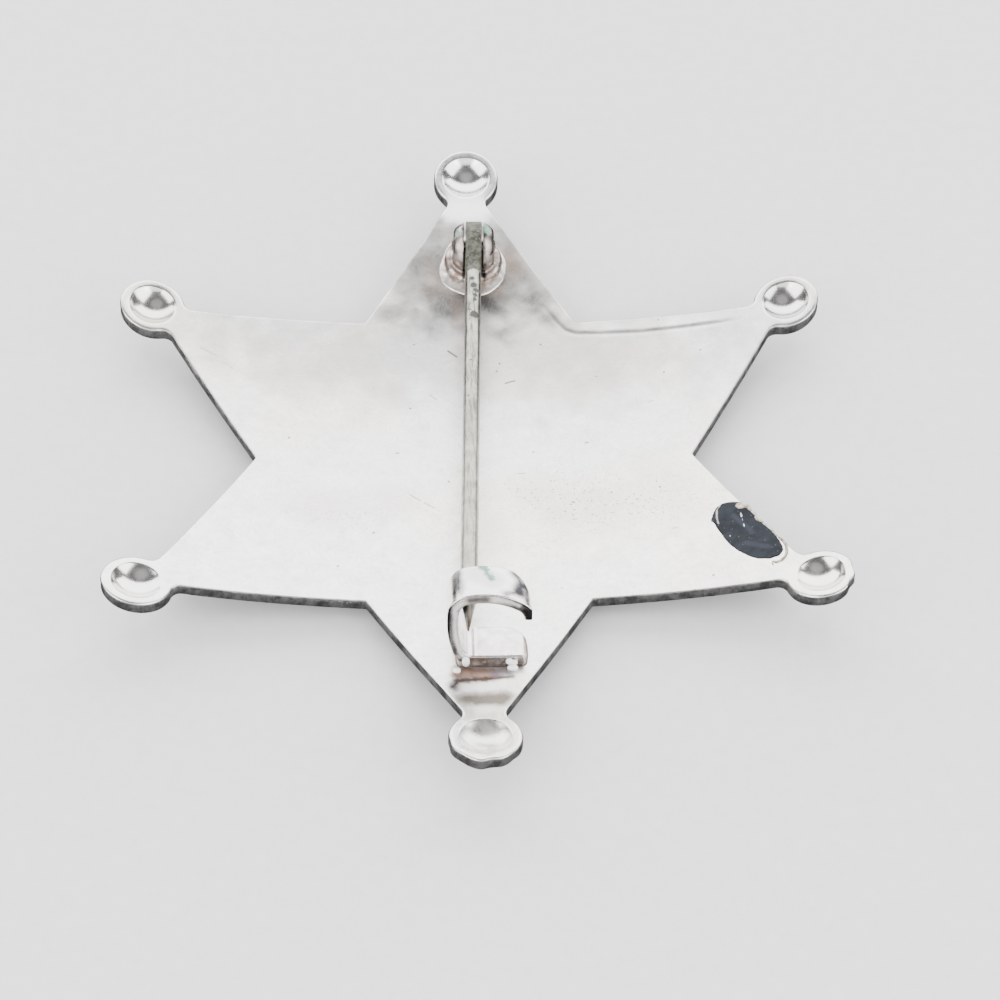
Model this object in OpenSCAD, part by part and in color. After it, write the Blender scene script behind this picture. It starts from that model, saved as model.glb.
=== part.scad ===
// Six-pointed star badge with ball tips, lying on its front with the pin side up.
// Millimetres. +Z up, the pin's hinge end towards +Y, its catch end towards -Y.
// The origin is on the surface below the middle of the badge.

/* [Star plate] */
// Distance from the middle of the star to the middle of a ball tip
tip_circle_r = 30.4; // [28:0.1:34]
// Distance from the middle of the star to the bottom of a notch between two points
notch_r = 17.6; // [15:0.1:19]
// Thickness of the sheet that the star is struck from
sheet_t = 1.0; // [0.8:0.1:1.4]
// Radius of the dished back face
dish_r = 120; // [110:1:200]
// Radius of the flat in the middle of the front, on which the badge rests
front_flat_r = 5; // [4:0.5:6]

/* [Ball tips] */
// Radius of the round lug at the end of each point
ball_r = 2.6; // [2.3:0.1:3]
// Radius of the blend between a lug and the edges of its point
ball_fillet_r = 0.8; // [0.4:0.1:1.2]
// Radius of the hollow in the back of a ball tip, at the surface
dimple_r = 1.9; // [1.5:0.05:2]
// Depth of the hollow in the back of a ball tip
dimple_depth = 0.85; // [0.5:0.05:0.9]
// Height of the domed front of a ball tip above the front face
dome_h = 1.1; // [0.9:0.1:1.4]

/* [Pin joint] */
// Place of the joint across the star
joint_x = 0.42; // [-1:0.02:1]
// Place of the joint along the star
joint_y = 21.6; // [20:0.1:23]
// Radius of the joint's round base
joint_base_r = 2.45; // [2.2:0.05:2.8]
// Height of the joint's base
joint_base_h = 0.9; // [0.7:0.05:1.1]
// Radius of the ball that the two cheeks are cut from
cheek_ball_r = 2.12; // [2:0.02:2.2]
// Width across the flat outer sides of the cheeks
cheek_width = 3.4; // [3.3:0.1:3.6]
// Width of the slot between the cheeks
slot_w = 1.64; // [1.5:0.02:1.7]
// Height of the rivet's axis above the plate
axis_h = 2.6; // [2.5:0.05:2.8]
// Radius of the rivet
rivet_r = 0.4; // [0.3:0.05:0.5]

/* [Pin] */
// Radius of the pin wire
wire_r = 0.68; // [0.5:0.02:0.7]
// Length of the pin from the rivet's axis to its point
pin_l = 44.1; // [43.5:0.1:44.5]
// Length of the tapered point
point_l = 3.6; // [2:0.1:6]
// Turn of the pin and its joint away from the star's long axis, in degrees
pin_skew = 1.98; // [1.5:0.02:2.6]
// Rise of the closed pin from the joint to the catch, in degrees
pin_rise = 2.8; // [2.6:0.05:3]
// Radius of the flattened eye round the rivet
eye_r = 2.0; // [1.8:0.05:2.05]
// Thickness of the flattened eye
eye_t = 1.34; // [1.2:0.02:1.4]
// Length over which the eye narrows to the round wire
flare_l = 3.2; // [2.6:0.1:3.6]

/* [Catch] */
// Place of the catch across the star
catch_x = 0.7; // [0.4:0.1:1]
// Place of the catch along the star
catch_y = -20.68; // [-21.5:0.02:-20]
// Width of the hook's strip, along the pin
strip_w = 3.54; // [3.2:0.02:3.8]
// Thickness of the hook's strip
strip_t = 0.88; // [0.8:0.02:0.92]
// Straight length of the leg that is soldered to the plate
leg_l = 3.85; // [3.6:0.05:4]

/* [Hidden] */
$fn = 96;
points = 6;
blend_steps = 5;
lug_steps = 24;
// Flatness left by resting the badge on the crown of its front
front_r = dish_r + sheet_t;
flat_depth = front_r - sqrt(front_r * front_r - front_flat_r * front_flat_r);
// Height of the middle of the back face, and of the centre of both dished faces
back_z = sheet_t - flat_depth;
dish_centre_z = back_z + dish_r;
// Solder film under each fitting, and running gaps
seat_gap = 0.02;
rivet_gap = 0.02;
eye_gap = 0.05;
slot_gap = 0.15;
// Tall enough to pass through the whole badge
through_h = 40;
// Width of the rim that a tip's dome leaves round itself
dome_rim = 0.1;
// Radius of the rounded top edge of the joint's base
base_round_r = 0.5;
// Radius of the neck below the cheeks' ball
cheek_neck_r = 1.8;
// Peened heads of the rivet
head_r = 0.6;
head_h = 0.14;
// Blunt end of the pin's point
point_r = 0.06;
// Hook's strip, seen from the pin's point: the free end of its leg, its first direction
// in degrees anticlockwise from +X, then each bend after the leg as [radius, clockwise turn]
leg_end_x = 2.5;
leg_heading = 180;
hook_bends = [
    [1.2, 72],
    [9.4, 24],
    [1.35, 70],
    [5.2, 46],
    [1.6, 57]
];
bend_steps = 12;
// The strip in plan: the end of its nose, the centre of the round that the nose's far side
// is cut to, the line just outside its riser, and the radius of its far corner there
nose_end_x = 3.02;
nose_round_x = 1;
nose_round_y = -0.9;
riser_side_x = -3.45;
riser_corner_r = 1.1;
plan_steps = 16;

// Height of the back face at a distance from the middle
function back_at(x, y) = dish_centre_z - sqrt(dish_r * dish_r - x * x - y * y);

// Slope of the back face along Y, in degrees
function slope_at(y) = asin(y / dish_r);

function on_circle(r, angle) = [r * cos(angle), r * sin(angle)];

// Half of the angle between the two edges of one point
function point_half_angle() =
    let (notch = on_circle(notch_r, 180 / points))
    atan2(notch[1], tip_circle_r - notch[0]);

// Centre of the blend between one edge of a point along +X and its lug, from the
// lug's middle: it touches both
function blend_reach() = ball_r + ball_fillet_r;
function blend_angle() = point_half_angle() + asin(ball_fillet_r / blend_reach());

// The blend on the edge below the point's middle, from the edge to the lug
function blend_points() =
    let (first = point_half_angle() + 90, last = blend_angle())
    [
        for (i = [0:blend_steps])
            on_circle(blend_reach(), 180 + blend_angle())
                + on_circle(ball_fillet_r, first + (last - first) * i / blend_steps)
    ];

// The lug between its two blends, anticlockwise
function lug_points() =
    let (first = blend_angle() - 180, turn = 360 - 2 * blend_angle())
    [for (i = [1:lug_steps - 1]) on_circle(ball_r, first + turn * i / lug_steps)];

function mirrored(list) = [for (i = [len(list) - 1:-1:0]) [list[i][0], -list[i][1]]];

// One point of the star along +X, from the notch before it
function point_outline() = concat(
    [on_circle(notch_r, -180 / points)],
    [
        for (p = concat(blend_points(), lug_points(), mirrored(blend_points())))
            p + [tip_circle_r, 0]
    ]
);

function turned(p, angle) = [
    p[0] * cos(angle) - p[1] * sin(angle),
    p[0] * sin(angle) + p[1] * cos(angle)
];

function star_points() = [
    for (i = [0:points - 1], p = point_outline()) turned(p, 90 + i * 360 / points)
];

// One clockwise bend as [x, z, heading] rows, with its start left out
function bend_rows(from, r, turn) = [
    for (i = [1:bend_steps])
        let (
            a = from[2] - turn * i / bend_steps,
            cx = from[0] + r * sin(from[2]),
            cz = from[1] - r * cos(from[2])
        )
        [cx - r * sin(a), cz + r * cos(a), a]
];

// Centreline of the hook's strip, bend after bend
function hook_line(rows, i) =
    i == len(hook_bends)
        ? rows
        : hook_line(
            concat(rows, bend_rows(rows[len(rows) - 1], hook_bends[i][0], hook_bends[i][1])),
            i + 1
        );

// One side of the strip, at an offset to the left of its centreline
function strip_side(line, side) = [
    for (p = line) [p[0] - side * sin(p[2]), p[1] + side * cos(p[2])]
];

function reversed(list) = [for (i = [len(list) - 1:-1:0]) list[i]];

// Everything nearer the middle of the dish than the given radius
module dish_ball(r) {
    translate([0, 0, dish_centre_z])
        sphere(r = r, $fn = 200);
}

// Places its child on a dish of the given radius, at the middle of each ball tip
module at_tips(r) {
    lean = asin(tip_circle_r / r);
    for (i = [0:points - 1])
        rotate([0, 0, 90 + i * 360 / points])
            translate([0, 0, dish_centre_z])
                rotate([0, -lean, 0])
                    translate([0, 0, -r])
                        children();
}

module tip_dome() {
    edge_r = ball_r - dome_rim;
    r = (edge_r * edge_r + dome_h * dome_h) / (2 * dome_h);
    intersection() {
        translate([0, 0, r - dome_h])
            sphere(r = r);
        translate([0, 0, -dome_h])
            cylinder(r = ball_r, h = dome_h + sheet_t / 2);
    }
}

module tip_dimple() {
    r = (dimple_r * dimple_r + dimple_depth * dimple_depth) / (2 * dimple_depth);
    translate([0, 0, r - dimple_depth])
        sphere(r = r);
}

module star_plate() {
    color("lightgray")
        difference() {
            union() {
                intersection() {
                    difference() {
                        dish_ball(front_r);
                        dish_ball(dish_r);
                    }
                    linear_extrude(height = through_h)
                        polygon(star_points());
                }
                at_tips(front_r)
                    tip_dome();
            }
            at_tips(dish_r)
                tip_dimple();
        }
}

// Stands its children on the back face, square to it along the star's long axis
module on_back(x, y, turn) {
    translate([x, y, back_at(x, y)])
        rotate([0, 0, turn])
            rotate([slope_at(y), 0, 0])
                children();
}

// Round base with a rounded top edge, reaching down past the plate's face
module fitting_base(r, h) {
    translate([0, 0, -h])
        rotate_extrude()
            union() {
                square([r - base_round_r, 2 * h]);
                square([r, 2 * h - base_round_r]);
                translate([r - base_round_r, 2 * h - base_round_r])
                    circle(r = base_round_r);
            }
}

// Lies across the joint, along the rivet
module along_axis(r, width) {
    translate([-width / 2, 0, axis_h])
        rotate([0, 90, 0])
            cylinder(r = r, h = width);
}

module joint_body() {
    difference() {
        union() {
            fitting_base(joint_base_r, joint_base_h);
            intersection() {
                union() {
                    translate([0, 0, axis_h])
                        sphere(r = cheek_ball_r);
                    cylinder(r = cheek_neck_r, h = axis_h);
                }
                translate([-cheek_width / 2, -joint_base_r, 0])
                    cube([cheek_width, 2 * joint_base_r, axis_h + cheek_ball_r]);
            }
        }
        along_axis(eye_r + slot_gap, slot_w);
        translate([-slot_w / 2, -joint_base_r, joint_base_h])
            cube([slot_w, 2 * joint_base_r, axis_h + cheek_ball_r]);
        along_axis(rivet_r + rivet_gap, 2 * cheek_width);
    }
}

module pin_joint() {
    color("silver")
        intersection() {
            on_back(joint_x, joint_y, -pin_skew)
                joint_body();
            dish_ball(dish_r - seat_gap);
        }
}

module joint_rivet() {
    shank_l = cheek_width + 2 * rivet_gap;
    dome_r = (head_r * head_r + head_h * head_h) / (2 * head_h);
    color("dimgray")
        on_back(joint_x, joint_y, -pin_skew) {
            along_axis(rivet_r, shank_l);
            for (side = [-1, 1])
                translate([side * shank_l / 2, 0, axis_h])
                    rotate([0, side * 90, 0])
                        intersection() {
                            translate([0, 0, head_h - dome_r])
                                sphere(r = dome_r);
                            cylinder(r = head_r, h = head_h);
                        }
        }
}

module hook_strip() {
    leg_end = [leg_end_x, strip_t / 2, leg_heading];
    leg_start = leg_end - [leg_l, 0, 0];
    line = hook_line([leg_end, leg_start], 0);
    intersection() {
        translate([0, strip_w / 2, 0])
            rotate([90, 0, 0])
                linear_extrude(height = strip_w)
                    polygon(concat(
                        strip_side(line, strip_t / 2),
                        reversed(strip_side(line, -strip_t / 2))
                    ));
        linear_extrude(height = through_h)
            hook_plan();
    }
}

// The strip seen from above, anticlockwise from the riser's near corner
module hook_plan() {
    side_y = strip_w / 2;
    reach_x = nose_end_x - nose_round_x;
    reach_y = side_y - nose_round_y;
    polygon(concat(
        [[riser_side_x, -side_y], [nose_end_x, -side_y]],
        [
            for (i = [0:plan_steps])
                let (a = 90 * i / plan_steps)
                [nose_round_x + reach_x * cos(a), nose_round_y + reach_y * sin(a)]
        ],
        [
            for (i = [0:plan_steps])
                [riser_side_x + riser_corner_r, side_y - riser_corner_r]
                    + on_circle(riser_corner_r, 90 + 90 * i / plan_steps)
        ]
    ));
}

module catch_hook() {
    color("silver")
        intersection() {
            on_back(catch_x, catch_y, 0)
                hook_strip();
            dish_ball(dish_r - seat_gap);
        }
}

// Hinge axis of the pin: the middle of the rivet
module at_hinge() {
    on_back(joint_x, joint_y, -pin_skew)
        translate([0, 0, axis_h])
            rotate([-slope_at(joint_y), 0, 0])
                children();
}

// Side of the pin's flat part, from the round eye to the wire, along -X
module flare_side() {
    lean = acos((eye_r - wire_r) / flare_l);
    eye_touch = on_circle(eye_r, lean);
    wire_touch = on_circle(wire_r, lean);
    polygon([
        [-eye_touch[0], eye_touch[1]],
        [-eye_touch[0], -eye_touch[1]],
        [-flare_l - wire_touch[0], -wire_touch[1]],
        [-flare_l - wire_touch[0], wire_touch[1]]
    ]);
}

module pin_stem() {
    color("darkgray")
        at_hinge()
            rotate([-pin_rise, 0, 0])
                difference() {
                    union() {
                        rotate([0, 90, 0])
                            cylinder(r = eye_r, h = eye_t, center = true);
                        rotate([90, 0, 90])
                            linear_extrude(height = eye_t, center = true)
                                flare_side();
                        translate([0, -eye_r, 0])
                            rotate([90, 0, 0])
                                cylinder(r = wire_r, h = pin_l - eye_r - point_l);
                        translate([0, point_l - pin_l, 0])
                            rotate([90, 0, 0])
                                cylinder(r1 = wire_r, r2 = point_r, h = point_l);
                    }
                    rotate([0, 90, 0])
                        cylinder(r = rivet_r + eye_gap, h = 2 * eye_t, center = true);
                }
}

star_plate();
pin_joint();
joint_rivet();
catch_hook();
pin_stem();
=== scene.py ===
"""Star badge lying on its front, pin side up: its detailed pieces, finishes, light and camera.

Shapes are worked out in millimetres, in the same frame as the CAD part, and each
finished mesh is brought to metres by to_metres().
"""

import math

import bmesh
import bpy
from mathutils import Matrix, Vector, noise
from mathutils.geometry import delaunay_2d_cdt


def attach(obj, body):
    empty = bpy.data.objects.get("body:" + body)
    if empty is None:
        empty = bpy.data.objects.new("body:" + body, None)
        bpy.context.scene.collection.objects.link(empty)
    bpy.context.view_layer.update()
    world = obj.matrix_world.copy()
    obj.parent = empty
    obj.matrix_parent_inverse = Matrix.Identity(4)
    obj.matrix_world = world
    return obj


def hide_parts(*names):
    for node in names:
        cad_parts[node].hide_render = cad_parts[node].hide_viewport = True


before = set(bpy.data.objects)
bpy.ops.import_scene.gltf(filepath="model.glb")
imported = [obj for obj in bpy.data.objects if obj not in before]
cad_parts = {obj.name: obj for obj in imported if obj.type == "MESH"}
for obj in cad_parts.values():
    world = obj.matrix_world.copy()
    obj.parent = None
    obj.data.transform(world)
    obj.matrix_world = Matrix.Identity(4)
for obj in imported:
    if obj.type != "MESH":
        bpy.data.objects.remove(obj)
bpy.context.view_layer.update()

MM = 0.001
scene = bpy.context.scene

# Sizes repeated from the CAD source, in millimetres and degrees
POINTS = 6
TIP_CIRCLE_R = 30.4
NOTCH_R = 17.6
SHEET_T = 1.0
DISH_R = 120.0
FRONT_FLAT_R = 5.0
BALL_R = 2.6
BALL_FILLET_R = 0.8
DIMPLE_R = 1.9
DIMPLE_DEPTH = 0.85
DOME_H = 1.1
DOME_EDGE_R = 2.5
JOINT_AT = (0.42, 21.6)
JOINT_BASE_R = 2.45
JOINT_BASE_H = 0.9
BASE_ROUND_R = 0.5
CHEEK_BALL_R = 2.12
CHEEK_NECK_R = 1.8
CHEEK_WIDTH = 3.4
SLOT_W = 1.64
SLOT_GAP = 0.15
AXIS_H = 2.6
RIVET_R = 0.4
RIVET_GAP = 0.02
HEAD_R = 0.6
HEAD_H = 0.14
WIRE_R = 0.68
PIN_L = 44.1
POINT_L = 3.6
POINT_R = 0.06
PIN_SKEW = 1.98
PIN_RISE = 2.8
EYE_R = 2.0
EYE_T = 1.34
EYE_HOLE_R = 0.45
FLARE_L = 3.2
CATCH_AT = (0.7, -20.68)
STRIP_W = 3.54
STRIP_T = 0.88
LEG_END_X = 2.5
LEG_L = 3.85
HOOK_BENDS = ((1.2, 72.0), (9.4, 24.0), (1.35, 70.0), (5.2, 46.0), (1.6, 57.0))
NOSE_END_X = 3.02
NOSE_ROUND = (1.0, -0.9)
RISER_SIDE_X = -3.45
RISER_CORNER_R = 1.1
SEAT_GAP = 0.02

FRONT_R = DISH_R + SHEET_T
BACK_Z = SHEET_T - (FRONT_R - math.sqrt(FRONT_R ** 2 - FRONT_FLAT_R ** 2))
DISH_CENTRE_Z = BACK_Z + DISH_R
TIP_LEAN = math.asin(TIP_CIRCLE_R / DISH_R)


def back_at(x, y):
    """Height of the back face."""
    return DISH_CENTRE_Z - math.sqrt(DISH_R ** 2 - x * x - y * y)


def slope_at(y):
    """Slope of the back face along the star's long axis."""
    return math.asin(y / DISH_R)


def on_circle(r, angle):
    return Vector((r * math.cos(angle), r * math.sin(angle)))


def smooth(low, high, value):
    """0 below low, 1 above high, and an even rise between."""
    t = min(max((value - low) / (high - low), 0.0), 1.0)
    return t * t * (3.0 - 2.0 * t)


WAVE_SCALE = 0.11
WAVE_DEPTH = 0.035
WAVE_SEED = 3.7
# How far each arm is bent at its tip from the even dish: the arm's direction in degrees,
# up, and outwards; how much larger its lug is
ARM_BENDS = (
    (30.0, -0.3, 0.0, 0.02),
    (90.0, 0.0, 0.2, 0.06),
    (150.0, -0.27, 0.0, 0.02),
    (210.0, 0.12, 0.0, 0.04),
    (270.0, 0.0, 0.2, 0.07),
    (330.0, 0.11, 0.0, 0.02),
)
# Where on its way out an arm starts to bend and to be drawn out, and how far beyond its
# edge a spread lug pulls the metal along
ARM_START, DRAWN_START = 0.5, 0.8
SPREAD_FADE = 2.0
# The upper arm's neck, bent down: how far, and between which places along Y
NECK_BENT = (-0.28, 25.4, 28.7)


def arm_lift(x, y):
    """How far the bent arms lift the sheet here."""
    drop, first, last = NECK_BENT
    lift = drop * smooth(first, last, y)
    for turn, up, _, _ in ARM_BENDS:
        along = Vector((x, y)).dot(on_circle(1.0, math.radians(turn))) / TIP_CIRCLE_R
        lift += up * smooth(ARM_START, 1.0, along)
    return lift


def wave_at(x, y):
    """Slight waves of the sheet, none where it rests."""
    off_rest = smooth(FRONT_FLAT_R, 2.0 * FRONT_FLAT_R, math.hypot(x, y))
    return WAVE_DEPTH * noise.noise(Vector((x * WAVE_SCALE, y * WAVE_SCALE, WAVE_SEED))) * off_rest


def worn_back(x, y):
    """Height of the back face as it is now."""
    return back_at(x, y) + arm_lift(x, y) + wave_at(x, y)


def seat_on_back(place, turn):
    """Stands a fitting on the back face, square to it along the star's long axis."""
    x, y = place
    return (
        Matrix.Translation((x, y, back_at(x, y)))
        @ Matrix.Rotation(math.radians(turn), 4, "Z")
        @ Matrix.Rotation(slope_at(y), 4, "X")
    )


# Camera: a long lens from the pin's point, at the photograph's height

LENS_MM = 117.3
FRAME_MM = 36.0
CAMERA_RISE = math.radians(47.9)
CAMERA_YAW = math.radians(3.04)
CAMERA_ROLL = math.radians(1.73)
CAMERA_AIM = (2.16, -3.56)
CAMERA_DISTANCE = 261.0


def make_camera():
    back = Vector((0.0, -math.cos(CAMERA_RISE), math.sin(CAMERA_RISE)))
    level = Vector((1.0, 0.0, 0.0))
    upright = back.cross(level)
    right = math.cos(CAMERA_ROLL) * level + math.sin(CAMERA_ROLL) * upright
    up = math.cos(CAMERA_ROLL) * upright - math.sin(CAMERA_ROLL) * level
    stand = Vector((*CAMERA_AIM, 0.0)) + back * CAMERA_DISTANCE
    turn = Matrix.Rotation(-CAMERA_YAW, 3, "Z")
    right, up, back, stand = turn @ right, turn @ up, turn @ back, turn @ stand
    stand.z += BACK_Z
    data = bpy.data.cameras.new("camera")
    data.sensor_width = FRAME_MM
    data.lens = LENS_MM
    data.clip_start = 0.01
    data.clip_end = 20.0
    camera = bpy.data.objects.new("camera", data)
    scene.collection.objects.link(camera)
    axes = Matrix((right, up, back)).transposed().to_4x4()
    camera.matrix_world = Matrix.Translation(stand * MM) @ axes
    scene.camera = camera


make_camera()


def both_ways(operation):
    """A Python operator and its reflected form, each of which adds a Math node."""
    return (
        lambda self, other: self.maths(operation, self, other),
        lambda self, other: self.maths(operation, other, self),
    )


class Wire:
    """A socket of a node tree. Arithmetic on it adds Math nodes to that tree."""

    __add__, __radd__ = both_ways("ADD")
    __sub__, __rsub__ = both_ways("SUBTRACT")
    __mul__, __rmul__ = both_ways("MULTIPLY")
    __truediv__, __rtruediv__ = both_ways("DIVIDE")
    __pow__, __rpow__ = both_ways("POWER")

    def __init__(self, tree, socket=None):
        self.tree = tree
        self.socket = socket

    def __neg__(self):
        return self * -1.0

    def __abs__(self):
        return self.maths("ABSOLUTE", self)

    def make(self, kind, settings=None, sockets=None, out=0):
        """Adds a node: its settings first, then the values or links of its sockets."""
        made = self.tree.nodes.new(kind)
        for name, value in (settings or {}).items():
            setattr(made, name, value)
        for name, value in (sockets or {}).items():
            if isinstance(value, Wire):
                self.tree.links.new(value.socket, made.inputs[name])
            else:
                made.inputs[name].default_value = value
        return Wire(self.tree, made.outputs[out])

    def maths(self, operation, *terms):
        return self.make("ShaderNodeMath", {"operation": operation}, dict(enumerate(terms)))

    def vectors(self, operation, other):
        """Vector Math between this vector and another."""
        return self.make("ShaderNodeVectorMath", {"operation": operation}, {0: self, 1: other})

    def vector(self, *numbers):
        """A vector of three numbers."""
        return self.make("ShaderNodeCombineXYZ", None, dict(enumerate(numbers)))

    def least(self, other):
        return self.maths("MINIMUM", self, other)

    def most(self, other):
        return self.maths("MAXIMUM", self, other)

    def melt(self, other, reach):
        """The smaller of two values, run into each other over a reach."""
        return self.maths("SMOOTH_MIN", self, other, reach)

    def trim(self, other, reach):
        """The larger of two values, run into each other over a reach."""
        return self.maths("SMOOTH_MAX", self, other, reach)

    def clamped(self):
        return self.make("ShaderNodeClamp", None, {"Value": self})

    def rise(self, low, high, bottom=0.0, top=1.0):
        """Even rise from bottom to top while the value goes from low to high."""
        return self.make(
            "ShaderNodeMapRange",
            {"interpolation_type": "SMOOTHSTEP"},
            {"Value": self, "From Min": low, "From Max": high, "To Min": bottom, "To Max": top},
        )

    def parts(self):
        """The three numbers of a vector."""
        split = self.make("ShaderNodeSeparateXYZ", None, {0: self})
        return [Wire(self.tree, end) for end in split.socket.node.outputs]

    def stretched(self, x, y, z):
        return self.vectors("MULTIPLY", (x, y, z))

    def moved(self, x, y, z):
        return self.vectors("ADD", (x, y, z))

    def mottle(self, scale, detail=2.0, roughness=0.5, out=0):
        """Noise over a vector, from 0 to 1."""
        values = {"Vector": self, "Scale": scale, "Detail": detail, "Roughness": roughness}
        return self.make("ShaderNodeTexNoise", None, values, out)

    def warped(self, scale, reach):
        """The vector pushed about by noise."""
        push = self.mottle(scale, 1.0, out="Color").moved(-0.5, -0.5, -0.5).scaled(reach)
        return self.vectors("ADD", push)

    def scaled(self, by):
        """A vector or colour times a value."""
        return self.make("ShaderNodeVectorMath", {"operation": "SCALE"}, {0: self, "Scale": by})

    def dots(self, scale, radius):
        """Scattered round dots over a vector: 1 in a dot. Radius is a share of their spacing."""
        spots = self.make("ShaderNodeTexVoronoi", None, {"Vector": self, "Scale": scale})
        return spots.rise(0.6 * radius, radius, 1.0, 0.0)

    def tint(self, bare, stained):
        """Colour from bare to stained as this mask goes from 0 to 1."""
        colours = {0: self}
        for place, colour in ((6, bare), (7, stained)):
            colours[place] = colour if isinstance(colour, Wire) else (*colour, 1.0)
        return self.make("ShaderNodeMix", {"data_type": "RGBA"}, colours, out=2)


def length_of(a, b):
    return (a * a + b * b) ** 0.5


# Geometry trees


def new_tree(name, inputs):
    """A geometry tree with named inputs: (name, socket type, value)."""
    tree = bpy.data.node_groups.new(name, "GeometryNodeTree")
    tree.interface.new_socket("Geometry", in_out="INPUT", socket_type="NodeSocketGeometry")
    tree.interface.new_socket("Geometry", in_out="OUTPUT", socket_type="NodeSocketGeometry")
    for label, kind, value in inputs:
        socket = tree.interface.new_socket(label, in_out="INPUT", socket_type=kind)
        if value is not None:
            socket.default_value = value
    start = tree.nodes.new("NodeGroupInput")
    return tree, {end.name: Wire(tree, end) for end in start.outputs if end.name}


def close_tree(wire, finish=None):
    """Ends a tree: its instances are made real and given their finish."""
    if finish:
        wire = wire.make("GeometryNodeRealizeInstances", None, {0: wire})
        wire = wire.make("GeometryNodeSetMaterial", None, {"Geometry": wire, "Material": finish})
    end = wire.tree.nodes.new("NodeGroupOutput")
    wire.tree.links.new(wire.socket, end.inputs[0])


def grow(name, tree, settings, mesh=None):
    """Runs a geometry tree and keeps its result as a plain mesh."""
    piece = bpy.data.objects.new(name, mesh or bpy.data.meshes.new(name + "_start"))
    scene.collection.objects.link(piece)
    grower = piece.modifiers.new("grow", "NODES")
    grower.node_group = tree
    for item in tree.interface.items_tree:
        if item.in_out == "INPUT" and item.name in settings:
            grower[item.identifier] = settings[item.name]
    depsgraph = bpy.context.evaluated_depsgraph_get()
    result = bpy.data.meshes.new_from_object(
        piece.evaluated_get(depsgraph), preserve_all_data_layers=True, depsgraph=depsgraph
    )
    piece.modifiers.remove(grower)
    piece.data = result
    result.name = name
    return piece


def keep_form(name, form, material):
    """Makes an object of a bmesh."""
    mesh = bpy.data.meshes.new(name)
    form.to_mesh(mesh)
    form.free()
    mesh.materials.append(material)
    piece = bpy.data.objects.new(name, mesh)
    scene.collection.objects.link(piece)
    return piece


def to_metres(piece, place=None):
    """Moves a mesh made in millimetres to its place, in metres, and shades it smoothly."""
    piece.data.transform(Matrix.Scale(MM, 4) @ (place or Matrix.Identity(4)))
    piece.data.shade_smooth()
    piece.data.update()
    return piece


def melted_metal(name, low, high, steps, shape, material, place):
    """A cast or soldered piece: shape() gives the distance from its surface at x, y, z,
    negative inside, on a grid of the given steps between two corners."""
    inputs = [("Low corner", "NodeSocketVector", low), ("High corner", "NodeSocketVector", high)]
    inputs += [("Steps " + axis, "NodeSocketInt", count) for axis, count in zip("XYZ", steps)]
    inputs.append(("Finish", "NodeSocketMaterial", None))
    tree, given = new_tree(name + "_cast", inputs)
    x, y, z = Wire(tree).make("GeometryNodeInputPosition").parts()
    block = {"Density": -shape(x, y, z), "Background": -1.0}
    block.update({"Min": given["Low corner"], "Max": given["High corner"]})
    block.update({"Resolution " + axis: given["Steps " + axis] for axis in "XYZ"})
    poured = Wire(tree).make("GeometryNodeVolumeCube", None, block)
    skin = poured.make("GeometryNodeVolumeToMesh", None, {"Volume": poured, "Threshold": 0.0})
    close_tree(skin, given["Finish"])
    piece = grow(name, tree, {"Finish": material})
    return to_metres(piece, place)


def rounded_base(x, y, z, r, h):
    """Round base with a rounded top edge, as a distance."""
    across = (length_of(x, y) - (r - BASE_ROUND_R)).most(0.0)
    along = (abs(z) - (h - BASE_ROUND_R)).most(0.0)
    return length_of(across, along) - BASE_ROUND_R


def above_plate(x, y, z):
    """Keeps a fitting off the dished back by the film of solder."""
    return (x * x + y * y + (z - DISH_R) ** 2.0) ** 0.5 - (DISH_R - SEAT_GAP)


# Finishes


def new_finish(name):
    """A bare finish, a wire of its tree, and object coordinates in millimetres."""
    material = bpy.data.materials.new(name)
    material.use_nodes = True
    bench = Wire(material.node_tree)
    place = bench.make("ShaderNodeTexCoord", None, None, out="Object")
    return material, bench, place.stretched(1.0 / MM, 1.0 / MM, 1.0 / MM)


def dress(material, **looks):
    """Sets or links the shader's sockets, such as base_color or roughness."""
    metal = material.node_tree.nodes["Principled BSDF"]
    for name, value in looks.items():
        label = name.replace("_", " ").title().replace("Ior", "IOR")
        if isinstance(value, Wire):
            value.tree.links.new(value.socket, metal.inputs[label])
        elif label == "Base Color":
            metal.inputs[label].default_value = (*value, 1.0)
        else:
            metal.inputs[label].default_value = value
    return material


def kept_value(bench, label):
    """A value kept on the mesh, such as how far a place is polished."""
    return bench.make("ShaderNodeAttribute", {"attribute_name": label}, None, out="Fac")


def stained(place, outlines, edge, rag, rag_scale):
    """1 inside the nearest of some outlines, 0 outside, with ragged edges. Each outline gives
    the distance from a stain's middle and how wide it is."""
    fray = (place.mottle(rag_scale, 3.0) - 0.5) * rag if rag else 0.0
    found = None
    for away, half in outlines:
        away = away - half + fray
        found = away if found is None else found.least(away)
    return found.rise(-edge, edge, 1.0, 0.0)


def blots(place, rows, edge, rag=0.0, rag_scale=1.0):
    """Round stains. Each row is x, y and radius."""
    x, y, _ = place.parts()
    outlines = [(length_of(x - at_x, y - at_y), radius) for at_x, at_y, radius in rows]
    return stained(place, outlines, edge, rag, rag_scale)


def strokes(place, rows, edge, rag=0.0, rag_scale=1.0):
    """Line stains between two places. Each row is x, y, x, y and half the line's width."""
    x, y, _ = place.parts()
    outlines = []
    for ax, ay, bx, by, half in rows:
        dx, dy = bx - ax, by - ay
        run = dx * dx + dy * dy
        t = (x * (dx / run) + y * (dy / run) - (ax * dx + ay * dy) / run).clamped()
        outlines.append((length_of(x - t * dx - ax, y - t * dy - ay), half))
    return stained(place, outlines, edge, rag, rag_scale)


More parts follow.
